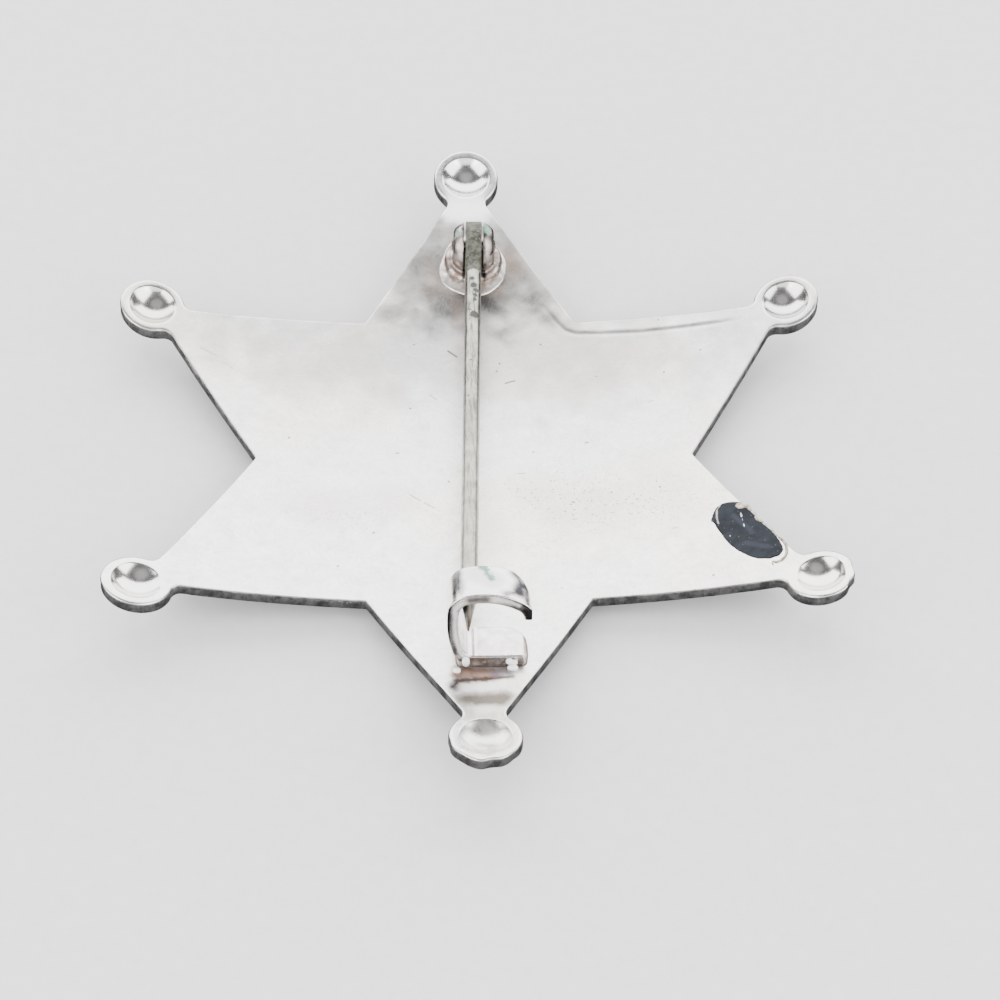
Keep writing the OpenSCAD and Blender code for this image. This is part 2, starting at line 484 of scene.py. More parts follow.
def lift_off_back(place):
    """Height above the plate's back face."""
    x, y, z = place.parts()
    out = (x * x + y * y + (z - DISH_CENTRE_Z) ** 2.0) ** 0.5
    return DISH_R - out


def height_bump(bench, *layers):
    """Normal from (height, depth in millimetres) layers."""
    total = None
    for height, depth in layers:
        part = height * depth
        total = part if total is None else total + part
    return bench.make(
        "ShaderNodeBump", None, {"Strength": 1.0, "Distance": MM, "Height": total}
    )


# The star plate


def half_angle():
    notch = on_circle(NOTCH_R, math.pi / POINTS)
    return math.atan2(notch.y, TIP_CIRCLE_R - notch.x)


LUG_STEPS = 30
BLEND_STEPS = 8
EDGE_STEPS = 40


def half_outline(inset):
    """Upper half of one point's outline, from its tip to the notch, moved in by inset.
    Each row is a place and how much it belongs to the round lug."""
    lean = half_angle()
    reach = BALL_R + BALL_FILLET_R
    blend = lean + math.asin(BALL_FILLET_R / reach)
    tip = Vector((TIP_CIRCLE_R, 0.0))
    blend_centre = tip + on_circle(reach, math.pi - blend)
    rows = []
    for i in range(LUG_STEPS):
        turn = (math.pi - blend) * i / LUG_STEPS
        rows.append((tip + on_circle(BALL_R - inset, turn), 1.0))
    first, last = -blend, -(math.pi / 2.0 + lean)
    for i in range(BLEND_STEPS):
        turn = first + (last - first) * i / BLEND_STEPS
        place = blend_centre + on_circle(BALL_FILLET_R + inset, turn)
        rows.append((place, 1.0 - smooth(0.0, 1.0, i / BLEND_STEPS)))
    start = blend_centre + on_circle(BALL_FILLET_R + inset, last)
    along = Vector((-math.cos(lean), math.sin(lean)))
    ray = on_circle(1.0, math.pi / POINTS)
    run = start.cross(ray) / ray.cross(along)
    for i in range(EDGE_STEPS + 1):
        rows.append((start + along * (run * i / EDGE_STEPS), 0.0))
    return rows


def full_outline(inset):
    upper = half_outline(inset)
    lower = [(Vector((p.x, -p.y)), lug) for p, lug in upper[1:]]
    return list(reversed(lower)) + upper


# Loops of the plate's edge, from the back face over the wall to the front: how far in,
# and how far below the back or above the front
BACK_LOOPS = (0.36, 0.22, 0.11, 0.04, 0.0)
FRONT_LOOPS = (0.0, 0.06, 0.18, 0.36)
EDGE_ROUND = 0.1
LUG_ROUND = 0.24
LUG_EXTRA = 0.1
FRONT_LUG_SHARE = 0.3
BACK_GRID = 0.42
FRONT_GRID = 0.85
DIMPLE_RINGS = (0.15, 0.35, 0.55, 0.75, 0.95, 1.15, 1.32, 1.48, 1.62, 1.72, 1.79, 1.84, 1.88,
                1.92, 1.96, 2.01, 2.07, 2.14)
DOME_RINGS = (0.2, 0.5, 0.8, 1.1, 1.4, 1.7, 1.95, 2.12)
# Places on a ring of up to this radius
RING_PLACES = ((0.5, 24), (1.0, 48), (BALL_R, 72))
# How far the grid of a face keeps off the rim, the cut between points and the lug's rings,
# as shares of its spacing, and half of a point's greatest width
RIM_ROOM, RAY_ROOM, RING_ROOM = 0.45, 0.5, 0.3
POINT_HALF_W = 9.0
# Between which distances from its middle a lug ends, how much its rim shines beside its
# hollow, and over how far the shine drops to that
LUG_FADE = (BALL_R - 0.3, BALL_R + 1.2)
RIM_POLISH, RIM_POLISH_FADE = 0.25, 0.25
BACK_SIDE, WALL_SIDE, FRONT_SIDE = 0, 1, 2
SIDE_FINISHES = ("Back finish", "Cut edge finish", "Front finish")


def drop_at(inset, lug):
    """How far the rounded edge has fallen from the face at this inset."""
    r = EDGE_ROUND + (LUG_ROUND - EDGE_ROUND) * lug
    if inset >= r:
        return 0.0
    return r - math.sqrt(r * r - (r - inset) ** 2)


def lug_distance(place):
    """Distance from the middle of the lug, measured on the leaning face."""
    return math.hypot((place.x - TIP_CIRCLE_R) / math.cos(TIP_LEAN), place.y)


def dimple_relief(away):
    """Depth of the hollow in the back of a tip, as a negative height with a soft rim."""
    r = (DIMPLE_R ** 2 + DIMPLE_DEPTH ** 2) / (2.0 * DIMPLE_DEPTH)
    inside = math.sqrt(max(r * r - away * away, 0.0)) - (r - DIMPLE_DEPTH)
    rim = 0.04
    return -0.5 * (inside + math.sqrt(inside * inside + rim * rim))


def front_relief(away, lug):
    """Height of the domed front of a tip, as a negative height."""
    r = (DOME_EDGE_R ** 2 + DOME_H ** 2) / (2.0 * DOME_H)
    dome = math.sqrt(max(r * r - away * away, 0.0)) - (r - DOME_H)
    return -max(dome, 0.0) - LUG_EXTRA * lug


def fill_points(grid, rings):
    """Points inside one point's innermost loop: an even grid, and rings on the lug."""
    lean = half_angle()
    inward = Vector((-math.sin(lean), -math.cos(lean)))
    edge = on_circle(NOTCH_R, math.pi / POINTS)
    margin = BACK_LOOPS[0] + RIM_ROOM * grid
    found = []
    row_h = grid * math.sqrt(0.75)
    rows = int(POINT_HALF_W / row_h)
    for j in range(-rows, rows + 1):
        y = j * row_h
        for i in range(1, int(TIP_CIRCLE_R / grid) + 2):
            p = Vector((i * grid + (0.5 * grid if j % 2 else 0.0), y))
            mirrored = Vector((p.x, abs(p.y)))
            off_edge = (mirrored - edge).dot(inward)
            off_ray = p.x * math.sin(math.pi / POINTS) - abs(p.y) * math.cos(math.pi / POINTS)
            if off_ray < RAY_ROOM * grid or lug_distance(p) < rings[-1] + RING_ROOM * grid:
                continue
            if off_edge > margin or (p - Vector((TIP_CIRCLE_R, 0.0))).length < BALL_R - margin:
                found.append(p)
    found.append(Vector((TIP_CIRCLE_R, 0.0)))
    for r in rings:
        count = next(places for widest, places in RING_PLACES if r <= widest)
        for i in range(count):
            p = on_circle(r, 2.0 * math.pi * i / count)
            found.append(Vector((TIP_CIRCLE_R + p.x * math.cos(TIP_LEAN), p.y)))
    return found


def fill_face(rim, grid, rings):
    """Triangles over one point's face, as places and corner numbers."""
    ray_end = rim[0].length
    steps = int(ray_end / grid)
    border = [Vector((0.0, 0.0))]
    for i in range(1, steps):
        border.append(on_circle(ray_end * i / steps, -math.pi / POINTS))
    border += rim
    for i in range(steps - 1, 0, -1):
        border.append(on_circle(ray_end * i / steps, math.pi / POINTS))
    count = len(border)
    edges = [(i, (i + 1) % count) for i in range(count)]
    places = border + fill_points(grid, rings)
    made = delaunay_2d_cdt(places, edges, [], 1, 1e-5)
    return made[0], made[2]


def one_point_mesh():
    """One point of the star, flat, each place at its height in the sheet. How far the
    dimple or dome moves it out of the sheet is kept as an attribute."""
    places, reliefs, polish, faces, sides = [], [], [], [], []

    def add(p, height, relief, lug):
        places.append((p.x, p.y, height))
        reliefs.append(relief)
        polish.append(lug)
        return len(places) - 1

    loops = []
    for d in BACK_LOOPS:
        loops.append([(p, SHEET_T - drop_at(d, lug), lug) for p, lug in full_outline(d)])
    loops.append([(p, 0.5 * SHEET_T, lug) for p, lug in full_outline(0.0)])
    for d in FRONT_LOOPS:
        loops.append([(p, drop_at(d, FRONT_LUG_SHARE * lug), lug) for p, lug in full_outline(d)])
    wall_start, wall_end = len(BACK_LOOPS) - 2, len(BACK_LOOPS) + 1
    rows = []
    for number, loop in enumerate(loops):
        front = number > len(BACK_LOOPS)
        row = []
        for p, height, lug in loop:
            relief = front_relief(lug_distance(p), lug) if front and lug > 0.0 else 0.0
            row.append(add(p, height, relief, RIM_POLISH * lug))
        rows.append(row)
    for number in range(len(rows) - 1):
        side = BACK_SIDE if number < wall_start else WALL_SIDE if number < wall_end else FRONT_SIDE
        for i in range(len(rows[0]) - 1):
            a, b = rows[number], rows[number + 1]
            faces.append((a[i], b[i], b[i + 1], a[i + 1]))
            sides.append(side)
    for side, loop, grid, rings in (
        (BACK_SIDE, loops[0], BACK_GRID, DIMPLE_RINGS),
        (FRONT_SIDE, loops[-1], FRONT_GRID, DOME_RINGS),
    ):
        found, triangles = fill_face([row[0] for row in loop], grid, rings)
        numbers = []
        for p in found:
            away = lug_distance(p)
            lug = 1.0 - smooth(*LUG_FADE, away)
            if side == BACK_SIDE:
                relief = dimple_relief(away) if away < BALL_R else 0.0
                dulled = smooth(DIMPLE_R, DIMPLE_R + RIM_POLISH_FADE, away)
                mirror = 1.0 - (1.0 - RIM_POLISH) * dulled
                numbers.append(add(p, SHEET_T, relief, lug * mirror))
            else:
                numbers.append(add(p, 0.0, front_relief(away, lug), lug))
        for corners in triangles:
            picked = [numbers[c] for c in corners]
            faces.append(picked if side == BACK_SIDE else picked[::-1])
            sides.append(side)
    mesh = bpy.data.meshes.new("one_point")
    mesh.from_pydata(places, [], faces)
    for label, values in (("relief", reliefs), ("lug_polish", polish)):
        layer = mesh.attributes.new(label, "FLOAT", "POINT")
        layer.data.foreach_set("value", values)
    layer = mesh.attributes.new("side", "INT", "FACE")
    layer.data.foreach_set("value", sides)
    return mesh


def star_tree():
    """Repeats one flat point round the star and presses the sheet into its dish."""
    inputs = [
        ("Points", "NodeSocketInt", POINTS),
        ("Dish radius", "NodeSocketFloat", DISH_R),
        ("Dish centre height", "NodeSocketFloat", DISH_CENTRE_Z),
        ("Sheet thickness", "NodeSocketFloat", SHEET_T),
    ]
    inputs += [(label, "NodeSocketMaterial", None) for label in SIDE_FINISHES]
    tree, given = new_tree("star_points", inputs)
    start = Wire(tree)
    spots = {"Count": given["Points"], "Offset": (0, 0, 0)}
    middle = start.make("GeometryNodeMeshLine", None, spots)
    turn = start.make("GeometryNodeInputIndex") * (2.0 * math.pi) / given["Points"]
    turn = start.vector(0.0, 0.0, turn + math.pi / 2.0)
    ring = start.make(
        "GeometryNodeInstanceOnPoints",
        None,
        {"Points": middle, "Instance": given["Geometry"], "Rotation": turn},
    )
    whole = ring.make("GeometryNodeRealizeInstances", None, {0: ring})
    whole = whole.make("GeometryNodeMergeByDistance", None, {"Geometry": whole, "Distance": 0.001})

    def kept(label, kind="FLOAT"):
        return start.make("GeometryNodeInputNamedAttribute", {"data_type": kind}, {0: label})

    x, y, height = start.make("GeometryNodeInputPosition").parts()
    r = given["Dish radius"] + given["Sheet thickness"] - height
    z = given["Dish centre height"] - (r * r - x * x - y * y) ** 0.5
    lift = kept("relief") / r
    centre_gap = given["Dish centre height"] - z
    pressed = start.vector(x - x * lift, y - y * lift, (z + centre_gap * lift).most(0.0))
    dished = whole.make("GeometryNodeSetPosition", None, {"Geometry": whole, "Position": pressed})
    for number, label in enumerate(SIDE_FINISHES):
        chosen = start.make(
            "FunctionNodeCompare",
            {"data_type": "INT", "operation": "EQUAL"},
            {2: kept("side", "INT"), 3: number},
        )
        dished = dished.make(
            "GeometryNodeSetMaterial",
            None,
            {"Geometry": dished, "Selection": chosen, "Material": given[label]},
        )
    close_tree(dished)
    return tree


CREASE_LINE = ((5.5, 17.7), (6.4, 16.8), (7.2, 15.5), (8.0, 14.4), (8.8, 14.0), (10.8, 13.85),
               (14.2, 13.7), (17.9, 13.8), (20.8, 13.9), (22.5, 14.0))
# The dip of the crease and half its width, the step beside it and its reach, half the width
# of its line of painted shade, how near to it the mesh is finer, and the corner that it lies
# beyond
CREASE_DIP, CREASE_DIP_HALF = 0.05, 0.2
CREASE_STEP, CREASE_STEP_REACH = 0.07, 1.3
CREASE_LINE_HALF = 0.16
CREASE_FINE = 0.8
CREASE_CORNER = (4.0, 11.0)


def by_crease(p):
    return p.x > CREASE_CORNER[0] and p.y > CREASE_CORNER[1]


def crease_at(p):
    """Signed distance from the crease, positive towards the edge, and how far along it."""
    best, side, along = 1e9, 1.0, 0.0
    count = len(CREASE_LINE) - 1
    for i in range(count):
        a, b = Vector(CREASE_LINE[i]), Vector(CREASE_LINE[i + 1])
        run = b - a
        t = min(max((p - a).dot(run) / run.length_squared, 0.0), 1.0)
        away = p - (a + run * t)
        if away.length < best:
            best = away.length
            side = 1.0 if run.cross(away) > 0.0 else -1.0
            along = (i + t) / count
    return best * side, along


def crease_fade(along):
    return smooth(0.0, 0.3, along) * (1.0 - smooth(0.82, 1.0, along))


# Knocks in the edge: where, how wide, and how far each moves the metal
EDGE_NICKS = (
    ((-20.0, 15.3), 0.33, (0.05, -0.27)),
    ((-11.4, 15.4), 0.3, (-0.03, -0.22)),
    ((28.9, -15.0), 0.7, (-0.22, 0.05)),
    ((28.6, -16.6), 0.55, (-0.18, 0.12)),
    ((28.9, -13.6), 0.4, (-0.1, 0.02)),
    ((-1.7, -32.4), 0.6, (0.04, 0.12)),
    ((-0.5, -33.1), 0.4, (0.0, -0.08)),
    ((0.4, -33.2), 0.45, (0.0, 0.14)),
    ((-2.6, -31.0), 0.5, (0.1, 0.02)),
    ((2.0, -32.4), 0.4, (-0.05, 0.08)),
    ((-25.2, 17.6), 0.6, (0.05, -0.08)),
    ((-12.3, -13.9), 0.3, (0.02, 0.07)),
)
# Stains and rubbed places of the back, with painted shade and a painted shadow, which are kept
# on its mesh: x, y, radius across, radius along, strength
# Grey stains, with painted shade: the joint's dark reflection in a V round it and a darker band
# over the upper arms
SHADE_AND_TARNISH_PATCHES = (
    (0.4, 19.2, 8.4, 6.6, 0.62), (-0.4, 15.0, 2.6, 1.0, 0.5), (5.2, 16.6, 1.3, 1.2, 0.5),
    (0.0, 12.5, 27.0, 6.5, 0.24),
    (-6.3, 16.6, 2.2, 1.3, 0.48), (-3.9, 17.9, 2.2, 1.4, 0.44), (-1.6, 18.2, 1.4, 0.9, 0.5),
    (-5.0, 13.9, 2.6, 1.0, 0.28), (2.9, 18.2, 1.7, 1.2, 0.48), (5.0, 17.8, 2.2, 1.8, 0.58),
    (6.6, 15.6, 1.6, 1.5, 0.5), (4.6, 15.6, 2.4, 1.6, 0.3), (-2.5, 26.0, 1.1, 0.8, 0.5),
    (-3.4, 21.2, 1.5, 3.0, 0.5), (3.6, 24.2, 1.3, 1.8, 0.42), (4.2, 21.0, 1.3, 2.4, 0.4),
    (0.2, 24.9, 3.0, 0.9, 0.5), (0.9, 14.6, 1.0, 3.0, 0.3), (8.4, 14.9, 1.6, 1.2, 0.35),
    (-9.0, 15.0, 3.0, 0.9, 0.18), (-21.0, 10.6, 1.8, 1.4, 0.12), (-4.2, 16.4, 2.4, 1.6, 0.45),
    (3.6, 22.6, 1.6, 4.0, 0.5), (-2.6, 24.4, 1.4, 2.0, 0.42), (4.0, 17.0, 3.0, 2.0, 0.4),
)
# Warm pinkish stains, with a painted brown shadow just left of the pin and round the joint
WARM_STAINS_AND_SHADOW = (
    (-14.1, 9.3, 3.2, 1.8, 0.35), (-7.6, 8.7, 2.6, 2.4, 0.35), (-11.6, -5.2, 4.2, 2.0, 0.3),
    (-6.0, -3.8, 3.0, 1.8, 0.28), (8.5, -4.6, 6.5, 3.4, 0.4), (14.5, -4.0, 4.0, 3.6, 0.3),
    (-0.9, 16.6, 0.7, 2.6, 0.4), (-1.0, 11.0, 0.5, 3.2, 0.4), (2.2, 18.9, 1.3, 0.9, 0.4),
    (-1.8, 18.9, 1.4, 0.9, 0.35), (-3.1, 20.6, 1.0, 2.2, 0.4), (10.0, 8.6, 5.0, 3.0, 0.2),
    (1.3, -8.6, 1.4, 3.4, 0.3), (-19.6, 12.8, 3.6, 1.4, 0.2), (3.9, 21.8, 1.0, 2.6, 0.45),
)
ROUGHED = (
    (8.6, -4.0, 6.0, 3.4, 1.0), (14.0, -4.6, 5.0, 3.2, 0.8), (4.6, -8.6, 3.0, 2.0, 0.5),
    (-10.6, -6.0, 4.6, 2.2, 0.45), (-4.0, -5.0, 3.0, 2.0, 0.45),
)
STAIN_AND_SHADE_LAYERS = (("tarnish_and_shade", SHADE_AND_TARNISH_PATCHES, 0.5), ("warmth_and_shadow", WARM_STAINS_AND_SHADOW, 0.3), ("roughed", ROUGHED, 0.25))
STAIN_RAG, STAIN_SEED = 0.9, 1.3
STAIN_EDGE = (0.1, 1.5)


def bend_arm(p):
    """Moves a place of the sheet as its arm is drawn out and its lug is spread."""
    for turn, _, outwards, spread in ARM_BENDS:
        heading = on_circle(1.0, math.radians(turn))
        along = p.xy.dot(heading) / TIP_CIRCLE_R
        if along < ARM_START:
            continue
        from_tip = p.xy - heading * TIP_CIRCLE_R
        share = 1.0 - smooth(BALL_R, BALL_R + SPREAD_FADE, from_tip.length)
        drawn = outwards * smooth(DRAWN_START, 1.0, along)
        p.xy += from_tip * (spread * share) + heading * drawn


def stain_at(p, rows, rag_scale):
    """How stained a place is, or how deep its painted shade, with ragged edges."""
    rag = STAIN_RAG * noise.fractal(Vector((p.x, p.y, STAIN_SEED)) * rag_scale, 1.0, 2.0, 3)
    total = 0.0
    for x, y, across, along, strength in rows:
        away = math.hypot((p.x - x) / across, (p.y - y) / along)
        total = max(total, strength * (1.0 - smooth(*STAIN_EDGE, away + rag * 0.5)))
    return total


def wear_plate(piece):
    """Adds what handling did to the even star: the crease, knocks and slight waves."""
    form = bmesh.new()
    form.from_mesh(piece.data)
    side = form.faces.layers.int["side"]
    near = []
    for edge in form.edges:
        middle = (edge.verts[0].co + edge.verts[1].co) / 2.0
        close = by_crease(middle) and abs(crease_at(middle.xy)[0]) < CREASE_FINE
        if close and all(face[side] == BACK_SIDE for face in edge.link_faces):
            near.append(edge)
    bmesh.ops.subdivide_edges(form, edges=near, cuts=2, use_grid_fill=True)
    bmesh.ops.triangulate(form, faces=[face for face in form.faces if len(face.verts) > 4])
    crease_shade = form.verts.layers.float.new("crease")
    # Stain layers, which also hold painted shade and a painted shadow
    stains = [(form.verts.layers.float.new(label), rows, rag) for label, rows, rag in STAIN_AND_SHADE_LAYERS]
    for vert in form.verts:
        p = vert.co
        for layer, rows, rag in stains:
            vert[layer] = stain_at(p, rows, rag)
        if by_crease(p) and p.z > back_at(p.x, p.y) - 0.5 * SHEET_T:
            off, along = crease_at(p.xy)
            fade = crease_fade(along)
            vert.co.z -= fade * CREASE_DIP * math.exp(-((off / CREASE_DIP_HALF) ** 2))
            vert.co.z -= fade * CREASE_STEP * smooth(0.0, CREASE_STEP_REACH, off)
            vert[crease_shade] = fade * math.exp(-((off / CREASE_LINE_HALF) ** 2))
        vert.co.z += wave_at(p.x, p.y) + arm_lift(p.x, p.y)
        bend_arm(vert.co)
        for place, reach, push in EDGE_NICKS:
            away = (vert.co.xy - Vector(place)).length / reach
            if away < 3.0:
                vert.co.xy += Vector(push) * math.exp(-away * away)
    form.to_mesh(piece.data)
    form.free()


def make_star_plate(*finishes):
    piece = grow("star_sheet", star_tree(), dict(zip(SIDE_FINISHES, finishes)), one_point_mesh())
    wear_plate(piece)
    to_metres(piece)
    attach(piece, "badge")
    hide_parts("star_plate")


# The joint, its rivet, the pin and the catch

# How far edges are eased where surfaces meet: the catch's strip, the cheeks' sides, the foot
# of the cheeks, the slot's floor and rim, and a fitting's foot on the plate
EDGE_EASE = 0.18
CHEEK_EASE = 0.25
FOOT_MELT = 0.45
SLOT_EASE, SLOT_RIM_EASE = 0.2, 0.12
SEAT_EASE = 0.06


def joint_shape(x, y, z):
    base = rounded_base(x, y, z, JOINT_BASE_R, JOINT_BASE_H)
    ball = (x * x + y * y + (z - AXIS_H) ** 2.0) ** 0.5 - CHEEK_BALL_R
    neck = (length_of(x, y) - CHEEK_NECK_R).trim(z - AXIS_H, 0.1)
    cheeks = ball.least(neck).trim(abs(x) - CHEEK_WIDTH / 2.0, CHEEK_EASE)
    body = base.melt(cheeks, FOOT_MELT)
    pocket = length_of(y, z - AXIS_H) - (EYE_R + SLOT_GAP)
    slot = (abs(x) - SLOT_W / 2.0).trim(pocket.least(JOINT_BASE_H - z), SLOT_EASE)
    hole = length_of(y, z - AXIS_H) - (RIVET_R + RIVET_GAP)
    body = body.trim(-slot, SLOT_RIM_EASE).trim(-hole, 0.05)
    return body.trim(above_plate(x, y, z), SEAT_EASE)


def rivet_shape(x, y, z):
    half = CHEEK_WIDTH / 2.0 + RIVET_GAP
    shank = (length_of(y, z) - RIVET_R).most(abs(x) - half)
    dome_r = (HEAD_R ** 2 + HEAD_H ** 2) / (2.0 * HEAD_H)
    out = abs(x) - half
    dome = (y * y + z * z + (out + dome_r - HEAD_H) ** 2.0) ** 0.5 - dome_r
    head = dome.trim(length_of(y, z) - HEAD_R, 0.06).trim(-out, 0.04)
    return shank.least(head)


def pin_shape(x, y, z):
    taper = ((y + PIN_L) * ((WIRE_R - POINT_R) / POINT_L) + POINT_R).least(WIRE_R)
    wire = (length_of(x, z) - taper).trim(-PIN_L - y, 0.05).most(y + EYE_R)
    lean = math.acos((EYE_R - WIRE_R) / FLARE_L)
    beside = abs(z) * math.sin(lean) - y * math.cos(lean) - EYE_R
    eye = length_of(y, z) - EYE_R
    flare = beside.most(-EYE_R * math.cos(lean) - y).most(FLARE_L + WIRE_R * math.cos(lean) + y)
    side = eye.least(flare)
    flat = side.trim(abs(x) - EYE_T / 2.0, 0.12)
    hole = length_of(y, z) - EYE_HOLE_R
    return wire.melt(flat, 0.2).trim(-hole, 0.06)


def arc_distance(x, z, centre, r, first, last):
    """Distance in the hook's side view from an arc between two directions, in degrees."""
    middle = math.radians((first + last) / 2.0)
    half = math.radians(abs(first - last) / 2.0)
    dx, dz = x - centre[0], z - centre[1]
    along = dx * math.cos(middle) + dz * math.sin(middle)
    across = abs(dz * math.cos(middle) - dx * math.sin(middle))
    angle = across.maths("ARCTAN2", across, along)
    beside = abs(length_of(along, across) - r)
    beyond = length_of(along - r * math.cos(half), across - r * math.sin(half))
    over = angle.maths("GREATER_THAN", angle, half)
    return beside + (beyond - beside) * over


def hook_arcs():
    """The hook's bends in its side view: centre, radius, first heading and bend; then its end."""
    px, pz, heading = LEG_END_X - LEG_L, STRIP_T / 2.0, 180.0
    arcs = []
    for r, bend in HOOK_BENDS:
        a = math.radians(heading)
        centre = (px + r * math.sin(a), pz - r * math.cos(a))
        arcs.append((centre, r, heading, bend))
        heading -= bend
        a = math.radians(heading)
        px, pz = centre[0] - r * math.sin(a), centre[1] + r * math.cos(a)
    return arcs, (px, pz)


def catch_shape(x, y, z):
    leg_middle = LEG_END_X - LEG_L / 2.0
    leg = (abs(x - leg_middle) - LEG_L / 2.0).trim(abs(z - STRIP_T / 2.0) - STRIP_T / 2.0, 0.15)
    arcs, (px, pz) = hook_arcs()
    bends = None
    for centre, r, heading, bend in arcs:
        arc = arc_distance(x, z, centre, r, heading + 90.0, heading - bend + 90.0)
        bends = arc if bends is None else bends.least(arc)
    strip = (bends - STRIP_T / 2.0).melt(leg, 0.15)
    nose_end = (length_of(x - px, z - pz) - 1.5 * STRIP_T).trim(z - pz, 0.05)
    strip = strip.trim(-nose_end, 0.2)
    reach = NOSE_END_X - NOSE_ROUND[0]
    depth = STRIP_W / 2.0 - NOSE_ROUND[1]
    past_x = (x - NOSE_ROUND[0]).most(0.0) * (1.0 / reach)
    past_y = (y - NOSE_ROUND[1]).most(0.0) * (1.0 / depth)
    past_nose = length_of(past_x, past_y)
    corner_x = RISER_SIDE_X + RISER_CORNER_R
    corner_y = STRIP_W / 2.0 - RISER_CORNER_R
    past_corner = length_of((corner_x - x).most(0.0), (y - corner_y).most(0.0)) - RISER_CORNER_R
    plan = ((past_nose - 1.0) * reach).trim(past_corner, 0.1).trim(-STRIP_W / 2.0 - y, 0.1)
    return strip.trim(plan, EDGE_EASE).trim(above_plate(x, y, z), SEAT_EASE)


def hinge_place():
    return (
        seat_on_back(JOINT_AT, -PIN_SKEW)
        @ Matrix.Translation((0.0, 0.0, AXIS_H))
        @ Matrix.Rotation(-slope_at(JOINT_AT[1]) - math.radians(PIN_RISE), 4, "X")
    )


def grid_steps(low, high, sizes):
    return tuple(int(round((h - l) / s)) for l, h, s in zip(low, high, sizes))


def cast_fitting(name, low, high, sizes, shape, material, place, body, node):
    steps = grid_steps(low, high, sizes)
    piece = melted_metal(name, low, high, steps, shape, material, place)
    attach(piece, body)
    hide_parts(node)


# Finishes of the pieces


def hazed_back():
    """Satin nickel silver, hazed and rubbed, with scratches, pits and stains."""
    material, bench, place = new_finish("hazed_back")
    drift = place.mottle(0.07, 1.0).rise(0.35, 0.65)
    haze = place.warped(0.25, 3.0).mottle(0.5, 5.0, 0.62)
    rubbed = place.warped(0.25, 4.0).stretched(0.8, 1.5, 1.0).mottle(1.1, 5.0, 0.68)
    swirls = place.warped(0.3, 6.0).stretched(2.6, 0.7, 1.0).mottle(2.0, 3.0, 0.6)
    grain = place.mottle(6.0, 3.0, 0.6)
    lug_polish = kept_value(bench, "lug_polish").clamped()
    pits = place.dots(0.45, 0.05) * (1.0 - lug_polish)
    tarnish_and_shade = kept_value(bench, "tarnish_and_shade")
    warmth_and_shadow = kept_value(bench, "warmth_and_shadow")
    crease = kept_value(bench, "crease")
    _, y, _ = place.parts()
    satin_lug = y.rise(-27.5, -26.5, 1.0, 0.0)
    polish = lug_polish * (1.0 - satin_lug * 0.75)
    roughed = kept_value(bench, "roughed")
    specks = place.warped(1.2, 0.8).dots(2.6, 0.24) * roughed

    cloud = (haze * 0.6 + swirls * 0.4).rise(0.38, 0.62)
    tone = 1.0 + (haze - 0.5) * 0.55 + (rubbed - 0.5) * 0.4 + (swirls - 0.5) * 0.35
    tone = tone + (grain - 0.5) * (0.22 + roughed * 0.4)
    tone = (1.0 + (tone - 1.0) * (1.0 - polish * 0.6)).most(0.1) ** 1.4
    # Painted shade darkens the line of the crease
    tone = tone * (1.0 - crease * 0.6) * (1.0 - pits * 0.7)
    # Grey stains darken the back, together with the painted shade round the joint and over the
    # upper arms
    tone = tone * (1.0 - (tarnish_and_shade * (1.1 + cloud * 0.35)).least(0.88))
    colour = drift.tint((0.80, 0.795, 0.79), (0.825, 0.80, 0.765)).scaled(tone)
    # Warm stains, with the pin's painted brown shadow beside it
    colour = (warmth_and_shadow * (0.4 + cloud * 0.6)).tint(colour, (0.42, 0.30, 0.24))
    colour = (specks * 0.9).tint(colour, (0.16, 0.08, 0.05))

    # Heat stains and scratches, and the painted contact shadow and neck shade
    for rows, edge, rag, rag_scale, share, stain in LINE_STAINS_AND_SHADE:
        colour = (strokes(place, rows, edge, rag, rag_scale) * share).tint(colour, stain)
    # Dark blotches round the joint, partly its painted dark reflection
    dark_blotch = blots(place, DARK_BLOTCHES, 0.4, 0.6, 1.6)
    colour = (dark_blotch * 0.4).tint(colour, (0.15, 0.145, 0.14))

    # Painted highlight: pale, less metallic colour where the necks catch the light
    painted_sheen = (strokes(place, HIGHLIGHT_BANDS, 0.35) * 0.8).most(blots(place, NECK_SHEEN, 0.9, 0.5, 0.8))
    colour = painted_sheen.tint(colour, (0.97, 0.97, 0.965))
    rough = 0.34 + (haze - 0.5) * 0.3 + (rubbed - 0.5) * 0.25 + tarnish_and_shade * 0.12
    rough = rough * (1.0 - polish * 0.45)
    dull = 1.0 - polish * 0.95
    bump = height_bump(
        bench, ((rubbed + haze * 3.0) * dull, 0.005), (grain * dull, 0.005), (pits, -0.02)
    )
    metallic = 1.0 - painted_sheen * 0.6
    return dress(material, base_color=colour, roughness=rough, metallic=metallic, normal=bump)


def cut_edge():
    """Sheared edge of the sheet: dark grey, scored across its thickness."""
    material, bench, place = new_finish("cut_edge")
    scores = place.stretched(1.0, 1.0, 0.18).mottle(5.0, 4.0, 0.7)
    grime = place.mottle(0.9, 4.0, 0.65)
    colour = grime.rise(0.35, 0.65).tint((0.40, 0.395, 0.39), (0.15, 0.15, 0.155))
    colour = (scores.rise(0.55, 0.75) * 0.5).tint(colour, (0.68, 0.67, 0.65))
    bump = height_bump(bench, (scores, 0.03), (grime, 0.03))
    rough = 0.3 + scores * 0.3
    return dress(material, base_color=colour, roughness=rough, metallic=0.9, normal=bump)


